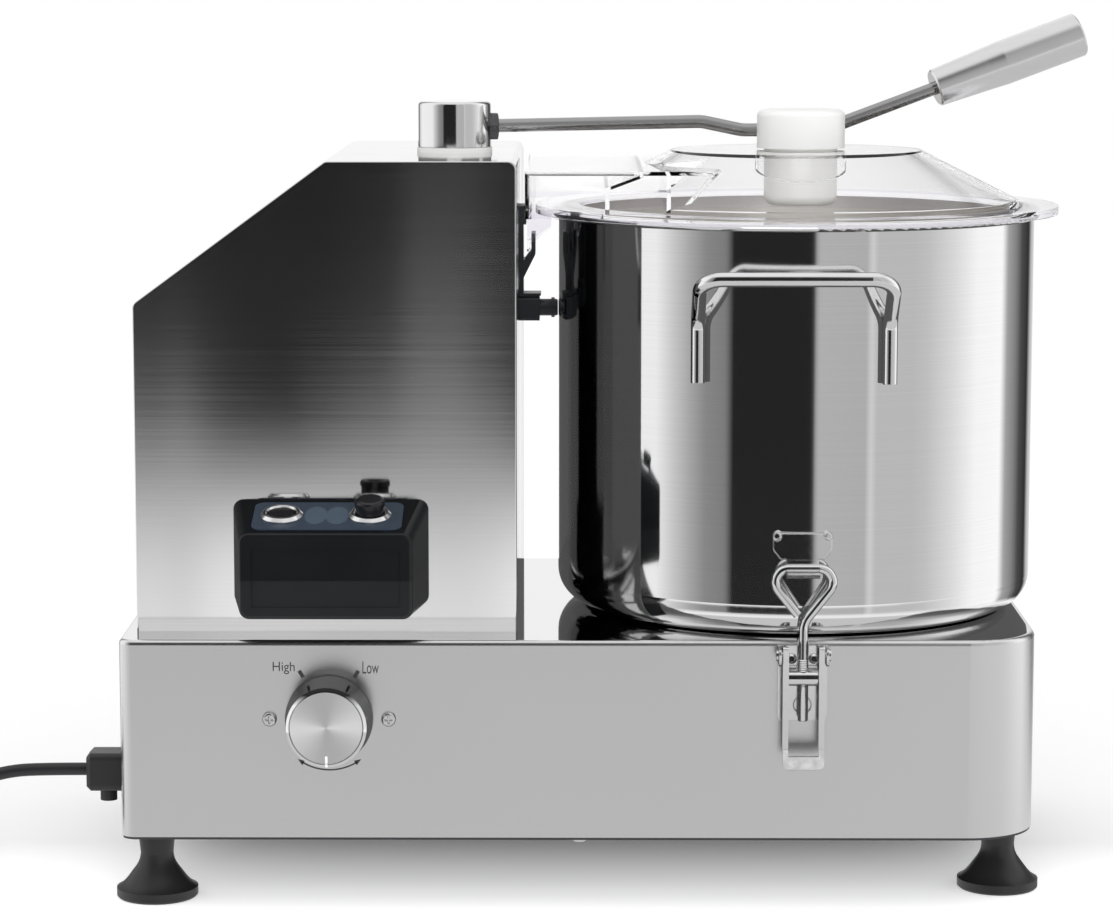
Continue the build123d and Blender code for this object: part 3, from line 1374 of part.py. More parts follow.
def power_plug():
    """A moulded three-pin plug lying on the coil."""
    body = extrude(RectangleRounded(2 * plug_radius, 2 * plug_radius, 8), plug_length * 0.6)
    body += extrude(Pos(0, 0, plug_length * 0.6) * RectangleRounded(2 * plug_radius, 2 * plug_radius, 8),
                    plug_length * 0.4, taper=18)
    tail = Pos(0, 0, plug_length + plug_tail / 2) * Cone(cord_radius + 3.2, cord_radius + 0.6, plug_tail)
    plug = body + tail
    thick, wide, long = plug_blade
    for side in (-1, 1):
        plug += Pos(side * plug_blade_spacing / 2, 3, -long / 2) * Box(thick, wide, long)
    plug += Pos(0, 3 - plug_ground_offset, -(long + plug_ground_extra) / 2) * Cylinder(
        plug_ground_radius, long + plug_ground_extra)
    height = 2 * cord_radius * coil_layers + plug_radius
    face = (coil_centre[0] - plug_length * 1.5, coil_centre[1] - coil_turn_radius * 0.57, height)
    place = Plane(origin=face, x_dir=(0, 1, 0), z_dir=(1, 0, 0))
    return place * plug


# ------------------------------------------------------------------ write the nodes
os.makedirs("parts", exist_ok=True)
save("base_shell", base_shell())
save("base_bottom_plate", base_bottom_plate())
for foot_name, foot_centre in foot_centres().items():
    save(foot_name, foot(foot_centre))
save("foot_bolts", *foot_bolts())
save("case_screws", *[pan_screw(*place) for place in screw_places()])
save("motor_housing", motor_housing())
save("housing_back_panel", housing_back_panel())
save("control_box", control_box())
save("control_label", control_label())
save("start_bezel", button_bezel(button_places[0]))
save("stop_bezel", button_bezel(button_places[1]))
save("start_button", start_button(button_places[0]))
save("stop_button", stop_button(button_places[1]))
save("speed_knob", speed_knob())
save("speed_spindle", speed_spindle())
save("speed_switch", speed_switch())
save("bowl", bowl())
save("bowl_handle", bowl_handle())
save("bowl_catch_plate", bowl_catch_plate())
save("latch_base_plate", latch_base_plate())
save("latch_rivets", *latch_rivets())
save("latch_pivot_pins", *latch_pivot_pins())
save("latch_lever", latch_lever())
save("latch_barrel", latch_barrel())
save("latch_bail", latch_bail())
save("lid_hook", lid_hook())
save("bowl_switch_block", bowl_switch_block())
save("bowl_plunger", bowl_plunger())
save("post_washer", post_washer())
save("lever_post", lever_post())
save("lever_nut", lever_nut())
save("lever_rod", lever_rod())
save("lever_grip", lever_grip())
save("post_bushing", post_bushing())
save("interlock_cam", interlock_cam())
save("interlock_switch", interlock_switch())
save("lid", lid())
save("stopper", stopper())
save("bearing_housing", bearing_housing())
save("shaft_bearings", *shaft_bearings())
save("drive_shaft", drive_shaft())
save("driven_pulley", pulley(driven_pulley_radius, shaft_radius, (bowl_axis_x, 0)))
save("motor_pulley", pulley(motor_pulley_radius, motor_shaft_radius, (motor_x, motor_y)))
save("drive_belt", drive_belt())
save("motor_casing", motor_casing())
save("motor_rotor", motor_rotor())
save("motor_fan", motor_fan())
save("run_capacitor", run_capacitor())
save("knife_hub", knife_hub())
save("lower_blade", blade(hub_bottom + hub_flange, 0))
save("knife_spacer", knife_spacer())
save("upper_blade", blade(hub_bottom + hub_flange + blade_thickness + spacer_height, upper_blade_turn))
save("knife_clamp", knife_clamp())
save("cable_gland", cable_gland())
save("power_cord", power_cord())
save("cord_coil", cord_coil())
save("power_plug", power_plug())
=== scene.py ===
"""The bowl cutter's looks: camera, light, materials, its cord with a tie and its printed marks."""
import math

import bpy
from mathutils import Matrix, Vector


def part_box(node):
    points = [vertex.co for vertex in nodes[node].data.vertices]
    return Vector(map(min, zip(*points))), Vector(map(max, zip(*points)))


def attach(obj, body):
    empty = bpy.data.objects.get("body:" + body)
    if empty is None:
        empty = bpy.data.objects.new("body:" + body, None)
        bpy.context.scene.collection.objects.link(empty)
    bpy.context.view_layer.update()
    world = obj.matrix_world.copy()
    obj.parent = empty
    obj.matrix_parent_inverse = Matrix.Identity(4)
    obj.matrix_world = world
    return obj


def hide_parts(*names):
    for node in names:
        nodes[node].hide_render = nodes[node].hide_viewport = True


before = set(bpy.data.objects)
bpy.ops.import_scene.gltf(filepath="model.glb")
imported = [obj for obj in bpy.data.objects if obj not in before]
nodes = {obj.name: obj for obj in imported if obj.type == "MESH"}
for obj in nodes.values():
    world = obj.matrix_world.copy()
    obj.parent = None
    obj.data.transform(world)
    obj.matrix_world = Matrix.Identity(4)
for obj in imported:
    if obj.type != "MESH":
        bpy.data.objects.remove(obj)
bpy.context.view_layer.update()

# The CAD is drawn in millimetres about the middle of the base.
middle = sum(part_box("base_shell"), Vector()) / 2


def point(x, y, z):
    """A point of the CAD drawing, in millimetres, as a point of the part, in metres."""
    return Vector((middle.x + x / 1000, middle.y + y / 1000, z / 1000))


def placed(name, data):
    """A new object in the scene, made of a mesh, a curve, a light or a camera."""
    thing = bpy.data.objects.new(name, data)
    bpy.context.scene.collection.objects.link(thing)
    return thing


def mesh_object(name, corners, faces, material):
    data = bpy.data.meshes.new(name)
    data.from_pydata(corners, [], faces)
    data.materials.append(material)
    return placed(name, data)


# ------------------------------------------------------------------ camera
CAMERA_PLACE = (-1.2, -2170, 540.3)
CAMERA_DOWN = 7.67          # degrees below level
CAMERA_LEFT = 0.35          # degrees turned to the left
camera_data = bpy.data.cameras.new("view")
camera_data.lens = 113.85
camera_data.sensor_width = 36
camera = placed("view", camera_data)
camera.location = point(*CAMERA_PLACE)
camera.rotation_euler = (math.radians(90 - CAMERA_DOWN), 0, math.radians(CAMERA_LEFT))
bpy.context.scene.camera = camera

# ------------------------------------------------------------------ node helpers
NOISE_SPAN = (0.3, 0.7)     # the part of its range that a noise field mostly fills


def grey(level):
    return (level, level, level)


class Nodes:
    """A node tree and short calls that add nodes to it."""

    def __init__(self, tree):
        self.tree = tree

    def add(self, kind, **settings):
        node = self.tree.nodes.new(kind)
        for key, value in settings.items():
            setattr(node, key, value)
        return node

    def link(self, source, target):
        self.tree.links.new(source, target)

    def math(self, operation, *values):
        """The result of an operation on values, each a number or a socket."""
        node = self.add("ShaderNodeMath", operation=operation)
        for socket, value in zip(node.inputs, values):
            if hasattr(value, "node"):
                self.link(value, socket)
            else:
                socket.default_value = value
        return node.outputs[0]

    def ramp(self, value, low, high, start=0.0, end=1.0, **settings):
        """A value carried from start..end to low..high."""
        span = self.add("ShaderNodeMapRange", **settings)
        for key, number in (("From Min", start), ("From Max", end), ("To Min", low), ("To Max", high)):
            span.inputs[key].default_value = number
        self.link(value, span.inputs["Value"])
        return span.outputs["Result"]

    def smooth(self, value, edge):
        """0 below an edge and 1 above it, with a soft step between its two ends."""
        return self.ramp(value, 0, 1, *edge, interpolation_type="SMOOTHSTEP")

    def blend(self, factor, first, second):
        """A colour between two others."""
        mix = self.add("ShaderNodeMix", data_type="RGBA")
        self.link(factor, mix.inputs[0])
        for socket, colour in ((mix.inputs[6], first), (mix.inputs[7], second)):
            if hasattr(colour, "node"):
                self.link(colour, socket)
            else:
                socket.default_value = (*colour, 1)
        return mix.outputs[2]

    def parts(self, vector):
        """The X, Y and Z of a vector."""
        split = self.add("ShaderNodeSeparateXYZ")
        self.link(vector, split.inputs[0])
        return tuple(split.outputs)


class Shader(Nodes):
    """A material and short calls that add nodes to it."""

    def __init__(self, name):
        self.material = bpy.data.materials.new(name)
        self.material.use_nodes = True
        super().__init__(self.material.node_tree)
        self.surface = self.tree.nodes["Principled BSDF"]

    def set(self, **sockets):
        for key, value in sockets.items():
            self.surface.inputs[key.replace("_", " ")].default_value = value

    def drive(self, key, source):
        """One socket of the surface, fed by another node."""
        self.link(source, self.surface.inputs[key])

    def coordinates(self, scale=(1, 1, 1)):
        """The part's own metres, stretched by a scale on each axis."""
        where = self.add("ShaderNodeTexCoord")
        stretch = self.add("ShaderNodeMapping")
        stretch.inputs["Scale"].default_value = scale
        self.link(where.outputs["Object"], stretch.inputs["Vector"])
        return stretch.outputs["Vector"]

    def noise(self, scale, detail=2.0, roughness=0.5):
        """A noise field, its grain stretched by the scale on each axis."""
        field = self.add("ShaderNodeTexNoise")
        field.inputs["Scale"].default_value = 1.0
        field.inputs["Detail"].default_value = detail
        field.inputs["Roughness"].default_value = roughness
        self.link(self.coordinates(scale), field.inputs["Vector"])
        return field.outputs["Fac"]

    def place(self):
        """X, Y and Z, in metres."""
        return self.parts(self.coordinates())

    def upward(self):
        """How far a face looks up: 1 for a level one, 0 for an upright one."""
        return self.parts(self.add("ShaderNodeNewGeometry").outputs["Normal"])[2]

    def away(self, scale, centre):
        """The way from a centre, on the axes whose scale is 1, and its length in metres."""
        offset = self.add("ShaderNodeVectorMath", operation="SUBTRACT")
        self.link(self.coordinates(scale), offset.inputs[0])
        offset.inputs[1].default_value = centre
        length = self.add("ShaderNodeVectorMath", operation="LENGTH")
        self.link(offset.outputs[0], length.inputs[0])
        return offset.outputs[0], length.outputs["Value"]

    def radius_from(self, x, y):
        """Distance from an upright axis, in metres."""
        return self.away((1, 1, 0), (x, y, 0))[1]

    def turned_about(self, axis):
        """Reflections are drawn out as on metal that was turned about an axis."""
        tangent = self.add("ShaderNodeTangent", direction_type="RADIAL", axis=axis)
        self.set(Anisotropic_Rotation=0.25)
        self.drive("Tangent", tangent.outputs["Tangent"])

    def bump(self, height, distance, under=None):
        """A surface roughened by a height field, in metres."""
        relief = self.add("ShaderNodeBump")
        relief.inputs["Strength"].default_value = 1.0
        relief.inputs["Distance"].default_value = distance
        self.link(height, relief.inputs["Height"])
        if under is not None:
            self.link(under, relief.inputs["Normal"])
        self.drive("Normal", relief.outputs["Normal"])
        return relief.outputs["Normal"]


# ------------------------------------------------------------------ kinds of surface
def brushed(name, colour, rough, grain, across=None, stretch=0.6, spread=0.25, lean=0.0,
            relief=1e-6, contrast=0.1, top_rough=None, inside=None, foot=None, cloud=(5, 5, 5)):
    """Brushed metal: grain is the scale of its scratches on each axis, across the way they blur.

    cloud is the scale on which its roughness wanders and spread the share by which it does. lean tips
    the upright faces forward a little, and top_rough is the roughness of level faces. inside gives an
    axis, a radius and the look within it (a colour that is a painted warm reflection, and a roughness),
    and foot the height, the radius and the share by which a rounded foot looks straighter.
    """
    scratch_share = 0.3
    level_face = (0.8, 0.98)            # how far a face looks up where it starts to look level, and does
    inner_face = (-0.12, -0.05)         # the same for faces that don't look down
    s = Shader(name)
    scratches = s.noise(grain, detail=3, roughness=0.65)
    dull = tuple(channel * (1 - contrast) for channel in colour)
    base = s.blend(s.ramp(scratches, 0, 1, *NOISE_SPAN), dull, colour)
    clouds = s.math("MULTIPLY", s.noise(cloud, detail=1), 1 - scratch_share)
    mixed = s.math("MULTIPLY_ADD", scratches, scratch_share, clouds)
    matt = s.ramp(mixed, rough * (1 - spread), rough * (1 + spread), *NOISE_SPAN)
    if top_rough is not None:
        level = s.ramp(s.upward(), 0, 1, *level_face)
        matt = s.math("MULTIPLY_ADD", level, top_rough - rough, matt)
    if inside is not None:
        axis, radius, tint, satin = inside
        within = s.math("MULTIPLY", s.ramp(s.radius_from(*axis), 1, 0, radius - 0.0002, radius),
                        s.ramp(s.upward(), 0, 1, *inner_face))
        # The colour within is a painted warm reflection; its roughness is the metal's own.
        base = s.blend(within, base, tint)
        matt = s.math("MULTIPLY_ADD", within, satin - rough, matt)
    s.drive("Base Color", base)
    s.drive("Roughness", matt)
    s.set(Metallic=1.0, Anisotropic=stretch)
    if across is None:
        s.turned_about("Z")
    else:
        way = s.add("ShaderNodeCombineXYZ")
        for socket, value in zip(way.inputs, across):
            socket.default_value = value
        s.drive("Tangent", way.outputs[0])
    under = None
    if lean:
        under = s.bump(s.place()[2], lean)
    if foot:
        top, radius, share = foot
        below = s.math("MAXIMUM", s.math("SUBTRACT", top, s.place()[2]), 0.0)
        curl = s.math("MULTIPLY", s.math("MULTIPLY", below, below), share / (2 * radius))
        under = s.bump(curl, 1.0, under=under)
    s.bump(scratches, relief, under=under)
    return s.material


def polished(name, colour, rough=0.06, wave=5e-7, lean=0.0, curve=None, lip=None, edge=0.0006):
    """Bright metal with a slow ripple, a few fine rubs and rounded edges.

    curve gives the X and radius of a gentle bend, lip a height and how much more it leans below.
    """
    s = Shader(name)
    rubs = s.noise((220, 220, 220), detail=4)
    s.drive("Roughness", s.ramp(rubs, rough * 0.8, rough * 1.4, 0.35, 0.7))
    s.drive("Base Color", s.blend(s.noise((30, 30, 30)), colour, tuple(c * 0.95 for c in colour)))
    s.set(Metallic=1.0)
    rounded = s.add("ShaderNodeBevel", samples=4)
    rounded.inputs["Radius"].default_value = edge
    under = rounded.outputs["Normal"]
    x, _, z = s.place()
    if lean:
        under = s.bump(z, lean, under=under)
    if lip:
        height, extra = lip
        below = s.math("MAXIMUM", s.math("SUBTRACT", height, z), 0.0)
        under = s.bump(s.math("MULTIPLY", below, -extra), 1.0, under=under)
    if curve:
        centre, radius = curve
        off = s.math("SUBTRACT", x, centre)
        under = s.bump(s.math("MULTIPLY", s.math("MULTIPLY", off, off), -0.5 / radius), 1.0, under=under)
    s.bump(s.noise((40, 40, 40), detail=1), wave, under=under)
    return s.material


def threaded(name, top, pitch=0.00125, depth=0.0005):
    """Bright metal with screw threads below a height."""
    s = Shader(name)
    s.set(Metallic=1.0, Base_Color=(0.84, 0.84, 0.84, 1), Roughness=0.1)
    z = s.place()[2]
    along = s.math("FRACT", s.math("DIVIDE", z, pitch))
    wave = s.math("ABSOLUTE", s.math("SUBTRACT", along, 0.5))
    s.bump(s.math("MULTIPLY", wave, s.ramp(z, 1, 0, top - 0.0005, top)), depth * 2)
    return s.material


def moulded(name, colour, rough, grain=900.0, relief=2e-5, tint=0.15):
    """Moulded plastic or rubber with a fine grain."""
    s = Shader(name)
    fine = s.noise((grain, grain, grain), detail=3)
    wide = s.noise((14, 14, 14), detail=3)
    worn = tuple(min(1.0, channel * (1 + tint) + 0.01 * tint) for channel in colour)
    s.drive("Base Color", s.blend(wide, colour, worn))
    s.drive("Roughness", s.ramp(wide, rough * 0.88, rough * 1.12, *NOISE_SPAN))
    s.bump(fine, relief)
    return s.material


def spun_knob(name, axis, face_radius):
    """Turned aluminium: fine rings on the face, a white line, a skirt that darkens to its top as a painted
    reflection.
    """
    line_half_width = (0.0006, 0.0008)      # full line, and where it has faded
    line_top = (-0.0167, -0.0164)
    # Heights over which the painted dark reflection spreads up the skirt.
    painted_reflection_from, painted_reflection_at = 0.013, 0.019
    rings_per_metre = 2500
    s = Shader(name)
    offset, radius = s.away((1, 0, 1), (axis.x, 0, axis.z))
    right, _, up = s.parts(offset)
    face = s.ramp(radius, 1, 0, face_radius - 0.0003, face_radius)
    line = s.math("MULTIPLY", s.ramp(s.math("ABSOLUTE", right), 1, 0, *line_half_width),
                  s.ramp(up, 1, 0, *line_top))
    # Painted reflection: the skirt's colour darkens towards its top.
    skirt = s.blend(s.ramp(up, 0, 1, painted_reflection_from, painted_reflection_at), grey(0.86), grey(0.03))
    tone = s.blend(face, skirt, grey(0.92))
    s.drive("Metallic", s.math("SUBTRACT", 1.0, line))
    s.drive("Base Color", s.blend(line, tone, grey(0.85)))
    s.drive("Roughness", s.ramp(face, 0.09, 0.27))
    s.set(Anisotropic=0.9)
    s.turned_about("Y")
    under = s.bump(s.math("MULTIPLY", s.place()[2], face), 0.062)
    s.bump(s.math("FRACT", s.math("MULTIPLY", radius, rings_per_metre)), 2e-7, under=under)
    return s.material


def box_plastic():
    """Glossy black with a darker panel across the upper part of the front."""
    panel_rise = (0.0222, 0.0228)
    s = Shader("box_black")
    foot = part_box("control_box")[0].z
    panel = s.ramp(s.place()[2], 0, 1, *(foot + rise for rise in panel_rise))
    tone = s.blend(panel, (0.019, 0.020, 0.021), (0.0042, 0.0052, 0.0068))
    s.drive("Base Color", s.blend(s.noise((14, 14, 14), detail=3), tone, (0.010, 0.011, 0.012)))
    s.set(Roughness=0.16, Specular_IOR_Level=0.28)
    s.bump(s.noise((900, 900, 900), detail=3), 5e-7)
    return s.material


def label_film():
    """Blue-grey film with two paler ovals between the buttons."""
    half_width, half_height = 0.0066, 0.0032
    oval_shares = (0.385, 0.63)         # places on the way from one button to the other
    above_middle = 0.0004
    s = Shader("label_film")
    start, stop = [sum(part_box(name), Vector()) / 2 for name in ("start_bezel", "stop_bezel")]
    middle_z = (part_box("control_label")[0].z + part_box("control_label")[1].z) / 2 + above_middle
    x, _, z = s.place()
    up = s.math("MULTIPLY", s.math("SUBTRACT", z, middle_z), 1 / half_height)
    height = s.math("MULTIPLY", up, up)
    ovals = []
    for share in oval_shares:
        centre = start.x + (stop.x - start.x) * share
        side = s.math("MULTIPLY", s.math("SUBTRACT", x, centre), 1 / half_width)
        ovals.append(s.ramp(s.math("ADD", s.math("MULTIPLY", side, side), height), 1, 0, 0.92, 1.08))
    both = s.math("MAXIMUM", *ovals)
    s.drive("Base Color", s.blend(both, (0.033, 0.052, 0.080), (0.072, 0.110, 0.150)))
    s.drive("Roughness", s.ramp(s.noise((14, 14, 14)), 0.26, 0.34))
    return s.material


def clear_plastic():
    """Clear plastic that lets light through to what it covers, lavender in its thick rim."""
    rim_radius = (0.1325, 0.1335)
    rim_rise = (0.003, 0.005)           # above the bowl's rim
    s = Shader("clear_plastic")
    rim = s.math("MULTIPLY", s.ramp(s.radius_from(*bowl_axis), 0, 1, *rim_radius),
                 s.ramp(s.place()[2], 1, 0, *(bowl_high.z + rise for rise in rim_rise)))
    s.drive("Base Color", s.blend(rim, (0.985, 0.984, 0.987), (0.925, 0.915, 0.945)))
    path = s.add("ShaderNodeLightPath")
    lit = s.math("MAXIMUM", path.outputs["Is Shadow Ray"], path.outputs["Is Diffuse Ray"])
    s.drive("Alpha", s.ramp(lit, 1.0, 0.12))
    s.set(Transmission_Weight=1.0, Roughness=0.02, IOR=1.06, Coat_Weight=0.5, Coat_IOR=1.45,
          Coat_Roughness=0.05)
    s.bump(s.noise((25, 25, 25), detail=2), 5e-7)
    return s.material


# ------------------------------------------------------------------ materials
BOWL_RADIUS = 0.146
BOWL_INNER_RADIUS = 0.1449
BOWL_FOOT_RADIUS = 0.02
LATCH_LIP_HEIGHT = 0.0985
HOOK_THREAD_TOP = 0.151
KNOB_FACE_RADIUS = 0.0212
bowl_low, bowl_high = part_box("bowl")
bowl_axis = ((bowl_low.x + bowl_high.x) / 2, (bowl_low.y + bowl_high.y) / 2)
knob_low, knob_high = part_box("speed_knob")
knob_centre = Vector(((knob_low.x + knob_high.x) / 2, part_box("base_shell")[0].y,
                      (knob_low.z + knob_high.z) / 2))

base_steel = brushed("base_satin", grey(0.80), 0.26, (2, 2, 1500), across=(0, 1, 1), stretch=0.4,
                     lean=0.09, contrast=0.01, spread=0.05, relief=1e-9, top_rough=0.05)
housing_steel = brushed("housing_brushed", grey(0.80), 0.08, (5, 5, 2400), across=(0, 1, 1), stretch=0.7,
                        lean=0.058, contrast=0.08, spread=0.40, relief=2.5e-7, cloud=(15, 15, 2.2),
                        top_rough=0.06)
bowl_steel = brushed("bowl_polished", grey(0.84), 0.07, (4, 4, 2400), stretch=0.6, spread=0.3,
                     contrast=0.05, relief=2e-7,
                     # Within the bowl: a warm colour painted as a reflection, and a satin roughness.
                     inside=(bowl_axis, BOWL_INNER_RADIUS, (0.88, 0.85, 0.80), 0.42),
                     foot=(bowl_low.z + BOWL_FOOT_RADIUS, BOWL_FOOT_RADIUS, 0.92))
blade_steel = brushed("blade_ground", (0.72, 0.73, 0.74), 0.2, (3, 900, 900), stretch=0.5)
grip_metal = brushed("grip_aluminium", grey(0.80), 0.2, (30, 200, 200), across=(1, 0, 0.36),
                     stretch=0.3, contrast=0.04, relief=2e-7)
bright = polished("bright_steel", grey(0.86))
pressed = polished("pressed_steel", grey(0.80), rough=0.14, wave=1e-7, lean=0.075,
                   lip=(LATCH_LIP_HEIGHT, 0.4), edge=0.0009)
catch = polished("catch_plate", grey(0.86), rough=0.07, wave=5e-8, curve=(bowl_axis[0], BOWL_RADIUS),
                 edge=0.0014)
chrome = polished("post_chrome", grey(0.84), rough=0.07)
rod_steel = polished("rod_steel", grey(0.40), rough=0.2)
nut_steel = polished("nut_steel", (0.12, 0.12, 0.125), rough=0.3)
screw_steel = polished("zinc_plate", grey(0.80), rough=0.16, lean=0.09)
black = moulded("black_plastic", (0.012, 0.014, 0.019), 0.34, relief=3e-6)
button_black = moulded("button_black", (0.006, 0.006, 0.008), 0.22, relief=1e-6)
white = moulded("white_plastic", (0.90, 0.90, 0.885), 0.32, relief=2e-6, tint=-0.03)
rubber = moulded("foot_rubber", (0.016, 0.016, 0.017), 0.42, relief=1e-5)
cord_rubber = moulded("cord_rubber", (0.014, 0.014, 0.016), 0.38, relief=6e-6)
cast = moulded("cast_iron", (0.24, 0.24, 0.25), 0.6, grain=500, relief=6e-5)
enamel = moulded("motor_enamel", (0.10, 0.13, 0.17), 0.4, relief=1e-5)
dark_plate = moulded("dark_plate", (0.03, 0.03, 0.033), 0.5, relief=6e-6)
ink = moulded("printed_ink", (0.035, 0.035, 0.04), 0.5, relief=1e-6)


def dress(material, *names):
    for name in names:
        for slot in nodes[name].material_slots:
            slot.material = material


dress(base_steel, "base_shell")
dress(housing_steel, "motor_housing", "housing_back_panel")
dress(bowl_steel, "bowl")
dress(bright, "bowl_handle", "latch_rivets", "latch_pivot_pins", "latch_barrel", "start_bezel", "stop_bezel")
dress(pressed, "latch_base_plate", "latch_lever")
dress(catch, "bowl_catch_plate")
dress(threaded("hook_bolt", HOOK_THREAD_TOP), "latch_bail")
dress(nut_steel, "lever_nut")
dress(chrome, "lever_post")
dress(rod_steel, "lever_rod")
dress(grip_metal, "lever_grip")
dress(blade_steel, "knife_hub", "lower_blade", "knife_spacer", "upper_blade", "knife_clamp", "drive_shaft")
dress(screw_steel, "foot_bolts", "case_screws", "speed_spindle", "shaft_bearings", "motor_rotor",
      "run_capacitor")
dress(spun_knob("spun_aluminium", knob_centre, KNOB_FACE_RADIUS), "speed_knob")
dress(black, "lid_hook", "bowl_switch_block", "bowl_plunger", "speed_switch", "interlock_cam",
      "interlock_switch", "motor_fan")
dress(rubber, "cable_gland", "foot_front_left", "foot_front_right", "foot_rear_left", "foot_rear_right")
dress(box_plastic(), "control_box")
dress(button_black, "start_button", "stop_button")
dress(label_film(), "control_label")
dress(white, "stopper", "post_washer", "post_bushing")
dress(clear_plastic(), "lid")
dress(cord_rubber, "power_plug", "drive_belt")
dress(cast, "bearing_housing", "driven_pulley", "motor_pulley")
dress(enamel, "motor_casing")
dress(dark_plate, "base_bottom_plate")

# ------------------------------------------------------------------ cord
CORD = 0.0077
cord_route = [
    (-294.0, -108.0, 74.0), (-318.0, -108.0, 74.0), (-342.0, -107.8, 72.8), (-365.0, -106.4, 65.0),
    (-382.0, -104.0, 49.0), (-395.0, -101.0, 30.0), (-409.0, -97.5, 13.0), (-427.0, -94.0, 4.6),
]
coil_x, coil_y, turn_radius = -449.0, -41.0, 42.5
steps_per_turn = 16
steps_in_last_turn = 7
jog = 0.18                  # share of a turn in which the cord moves over to the next ring
turn_spacing = CORD * 1010  # the cord's millimetres and one hundredth to spare
# From the outer ring on top, across the coil, to the tail of the plug: from the coil's middle.
plug_lead = [
    (8.0, 47.5, 12.4), (26.0, 42.5, 14.2), (39.5, 29.0, 17.6), (43.5, 10.0, 20.4),
    (38.0, -8.0, 24.2), (25.0, -20.0, 26.8), (12.0, -24.2, 28.2), (4.0, -24.225, 28.4),
]


def coil_points():
    """Three rings wound inwards on the floor and back outwards on top, then the lead to the plug."""
    rings = [(1, 0), (0, 0), (-1, 0), (-1, 1), (0, 1), (1, 1), (1, 1)]
    last = len(rings) - 2
    points = []
    for turn in range(last + 1):
        for step in range(steps_in_last_turn if turn == last else steps_per_turn):
            share = max(0.0, (step / steps_per_turn - 1 + jog) / jog)
            share = share * share * (3 - 2 * share)
            ring, layer = [a + (b - a) * share for a, b in zip(rings[turn], rings[turn + 1])]
            angle = math.radians(-90) - 2 * math.pi * step / steps_per_turn
            radius = turn_radius + turn_spacing * ring
            points.append((coil_x + radius * math.cos(angle), coil_y + radius * math.sin(angle),
                           turn_spacing * (0.5 + layer)))
    return points + [(coil_x + x, coil_y + y, z) for x, y, z in plug_lead]


def cord_curve():
    points = [point(*p) for p in cord_route + coil_points()]
    data = bpy.data.curves.new("cord", "CURVE")
    data.dimensions = "3D"
    data.bevel_depth = CORD / 2
    data.bevel_resolution = 6
    data.use_fill_caps = True
    spline = data.splines.new("NURBS")
    spline.points.add(len(points) - 1)
    for control, place in zip(spline.points, points):
        control.co = (*place, 1)
    spline.order_u = 3
    spline.use_endpoint_u = True
    spline.resolution_u = 6
    data.materials.append(cord_rubber)
    return placed("cord", data)


cord = cord_curve()
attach(cord, "base")
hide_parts("power_cord", "cord_coil")

# ------------------------------------------------------------------ tie round the coil
TIE_ANGLE = 160             # degrees about the coil, clear of the plug
TIE_HALF_WIDTH = 5.0
# Half its size across the bundle, its lowest and highest point, and the radius of its corners.
TIE_OUTSIDE = (12.5, 0.05, 16.3, 4.7)
TIE_INSIDE = (11.6, 0.95, 15.4, 3.8)


def rounded_section(half_size, low, high, radius, steps=5):
    """A rounded rectangle as (from the bundle's middle, up) in millimetres."""
    corners = ((half_size - radius, high - radius, 0), (radius - half_size, high - radius, 90),
               (radius - half_size, low + radius, 180), (half_size - radius, low + radius, 270))
    return [(x + radius * math.cos(math.radians(start + 90 * i / steps)),
             z + radius * math.sin(math.radians(start + 90 * i / steps)))
            for x, z, start in corners for i in range(steps + 1)]


def coil_tie():
    """A thin rubber strap round the bundle of the coil."""
    angle = math.radians(TIE_ANGLE)
    outward = Vector((math.cos(angle), math.sin(angle)))
    along = Vector((-outward.y, outward.x))
    corners = []
    for section in (rounded_section(*TIE_OUTSIDE), rounded_section(*TIE_INSIDE)):
        for side in (-TIE_HALF_WIDTH, TIE_HALF_WIDTH):
            for x, z in section:
                place = (turn_radius + x) * outward + side * along
                corners.append(point(coil_x + place.x, coil_y + place.y, z))
    count = len(corners) // 4
    faces = []
    for i in range(count):
        j = (i + 1) % count
        for a, b in ((0, 1), (1, 3), (3, 2), (2, 0)):
            faces.append((a * count + i, a * count + j, b * count + j, b * count + i))
    return mesh_object("coil_tie", corners, faces, rubber)


tie = coil_tie()
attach(tie, "base")

# ------------------------------------------------------------------ printed marks
INK_RISE = 0.00004          # metres in front of the base
SCALE_RADIUS = 30.3
ARROW_HALF_WIDTH = 1.6


def on_front(right, up):
    """A place on the front of the base, in millimetres from the knob's axis."""
    return knob_centre.x + right / 1000, knob_centre.y - INK_RISE, knob_centre.z + up / 1000


def printed(name, outlines):
    """Flat marks on the front, each a closed outline of (right, up) millimetres from the knob's axis."""
    corners, faces = [], []
    for outline in outlines:
        faces.append(tuple(range(len(corners), len(corners) + len(outline))))
        corners += [on_front(x, z) for x, z in outline]
    marks = mesh_object(name, corners, faces, ink)
    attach(marks, "base")


def polar(radius, degrees):
    """A point at a clockwise angle from the top."""
    angle = math.radians(degrees)
    return radius * math.sin(angle), radius * math.cos(angle)


def band(radius, width, start, end, steps=24):
    angles = [start + (end - start) * i / steps for i in range(steps + 1)]
    return ([polar(radius - width / 2, a) for a in angles]
            + [polar(radius + width / 2, a) for a in reversed(angles)])


def tick(middle_angle, inner=29.0, outer=33.6, inner_half=2.2, outer_half=1.9):
    """A short stroke beside High or Low; its half widths are in degrees."""
    return [polar(inner, middle_angle - inner_half), polar(outer, middle_angle - outer_half),
            polar(outer, middle_angle + outer_half), polar(inner, middle_angle + inner_half)]


def arrowhead(side, tip=38, foot=30):
    """The end of the arc below the knob; tip and foot are degrees from the bottom."""
    return [polar(SCALE_RADIUS, 180 + side * tip),
            polar(SCALE_RADIUS + ARROW_HALF_WIDTH, 180 + side * foot),
            polar(SCALE_RADIUS - ARROW_HALF_WIDTH, 180 + side * foot)]


printed("speed_scale", [tick(-31), tick(31), band(SCALE_RADIUS, 0.9, 180 - 32, 180 + 32),
                        arrowhead(-1), arrowhead(1)])


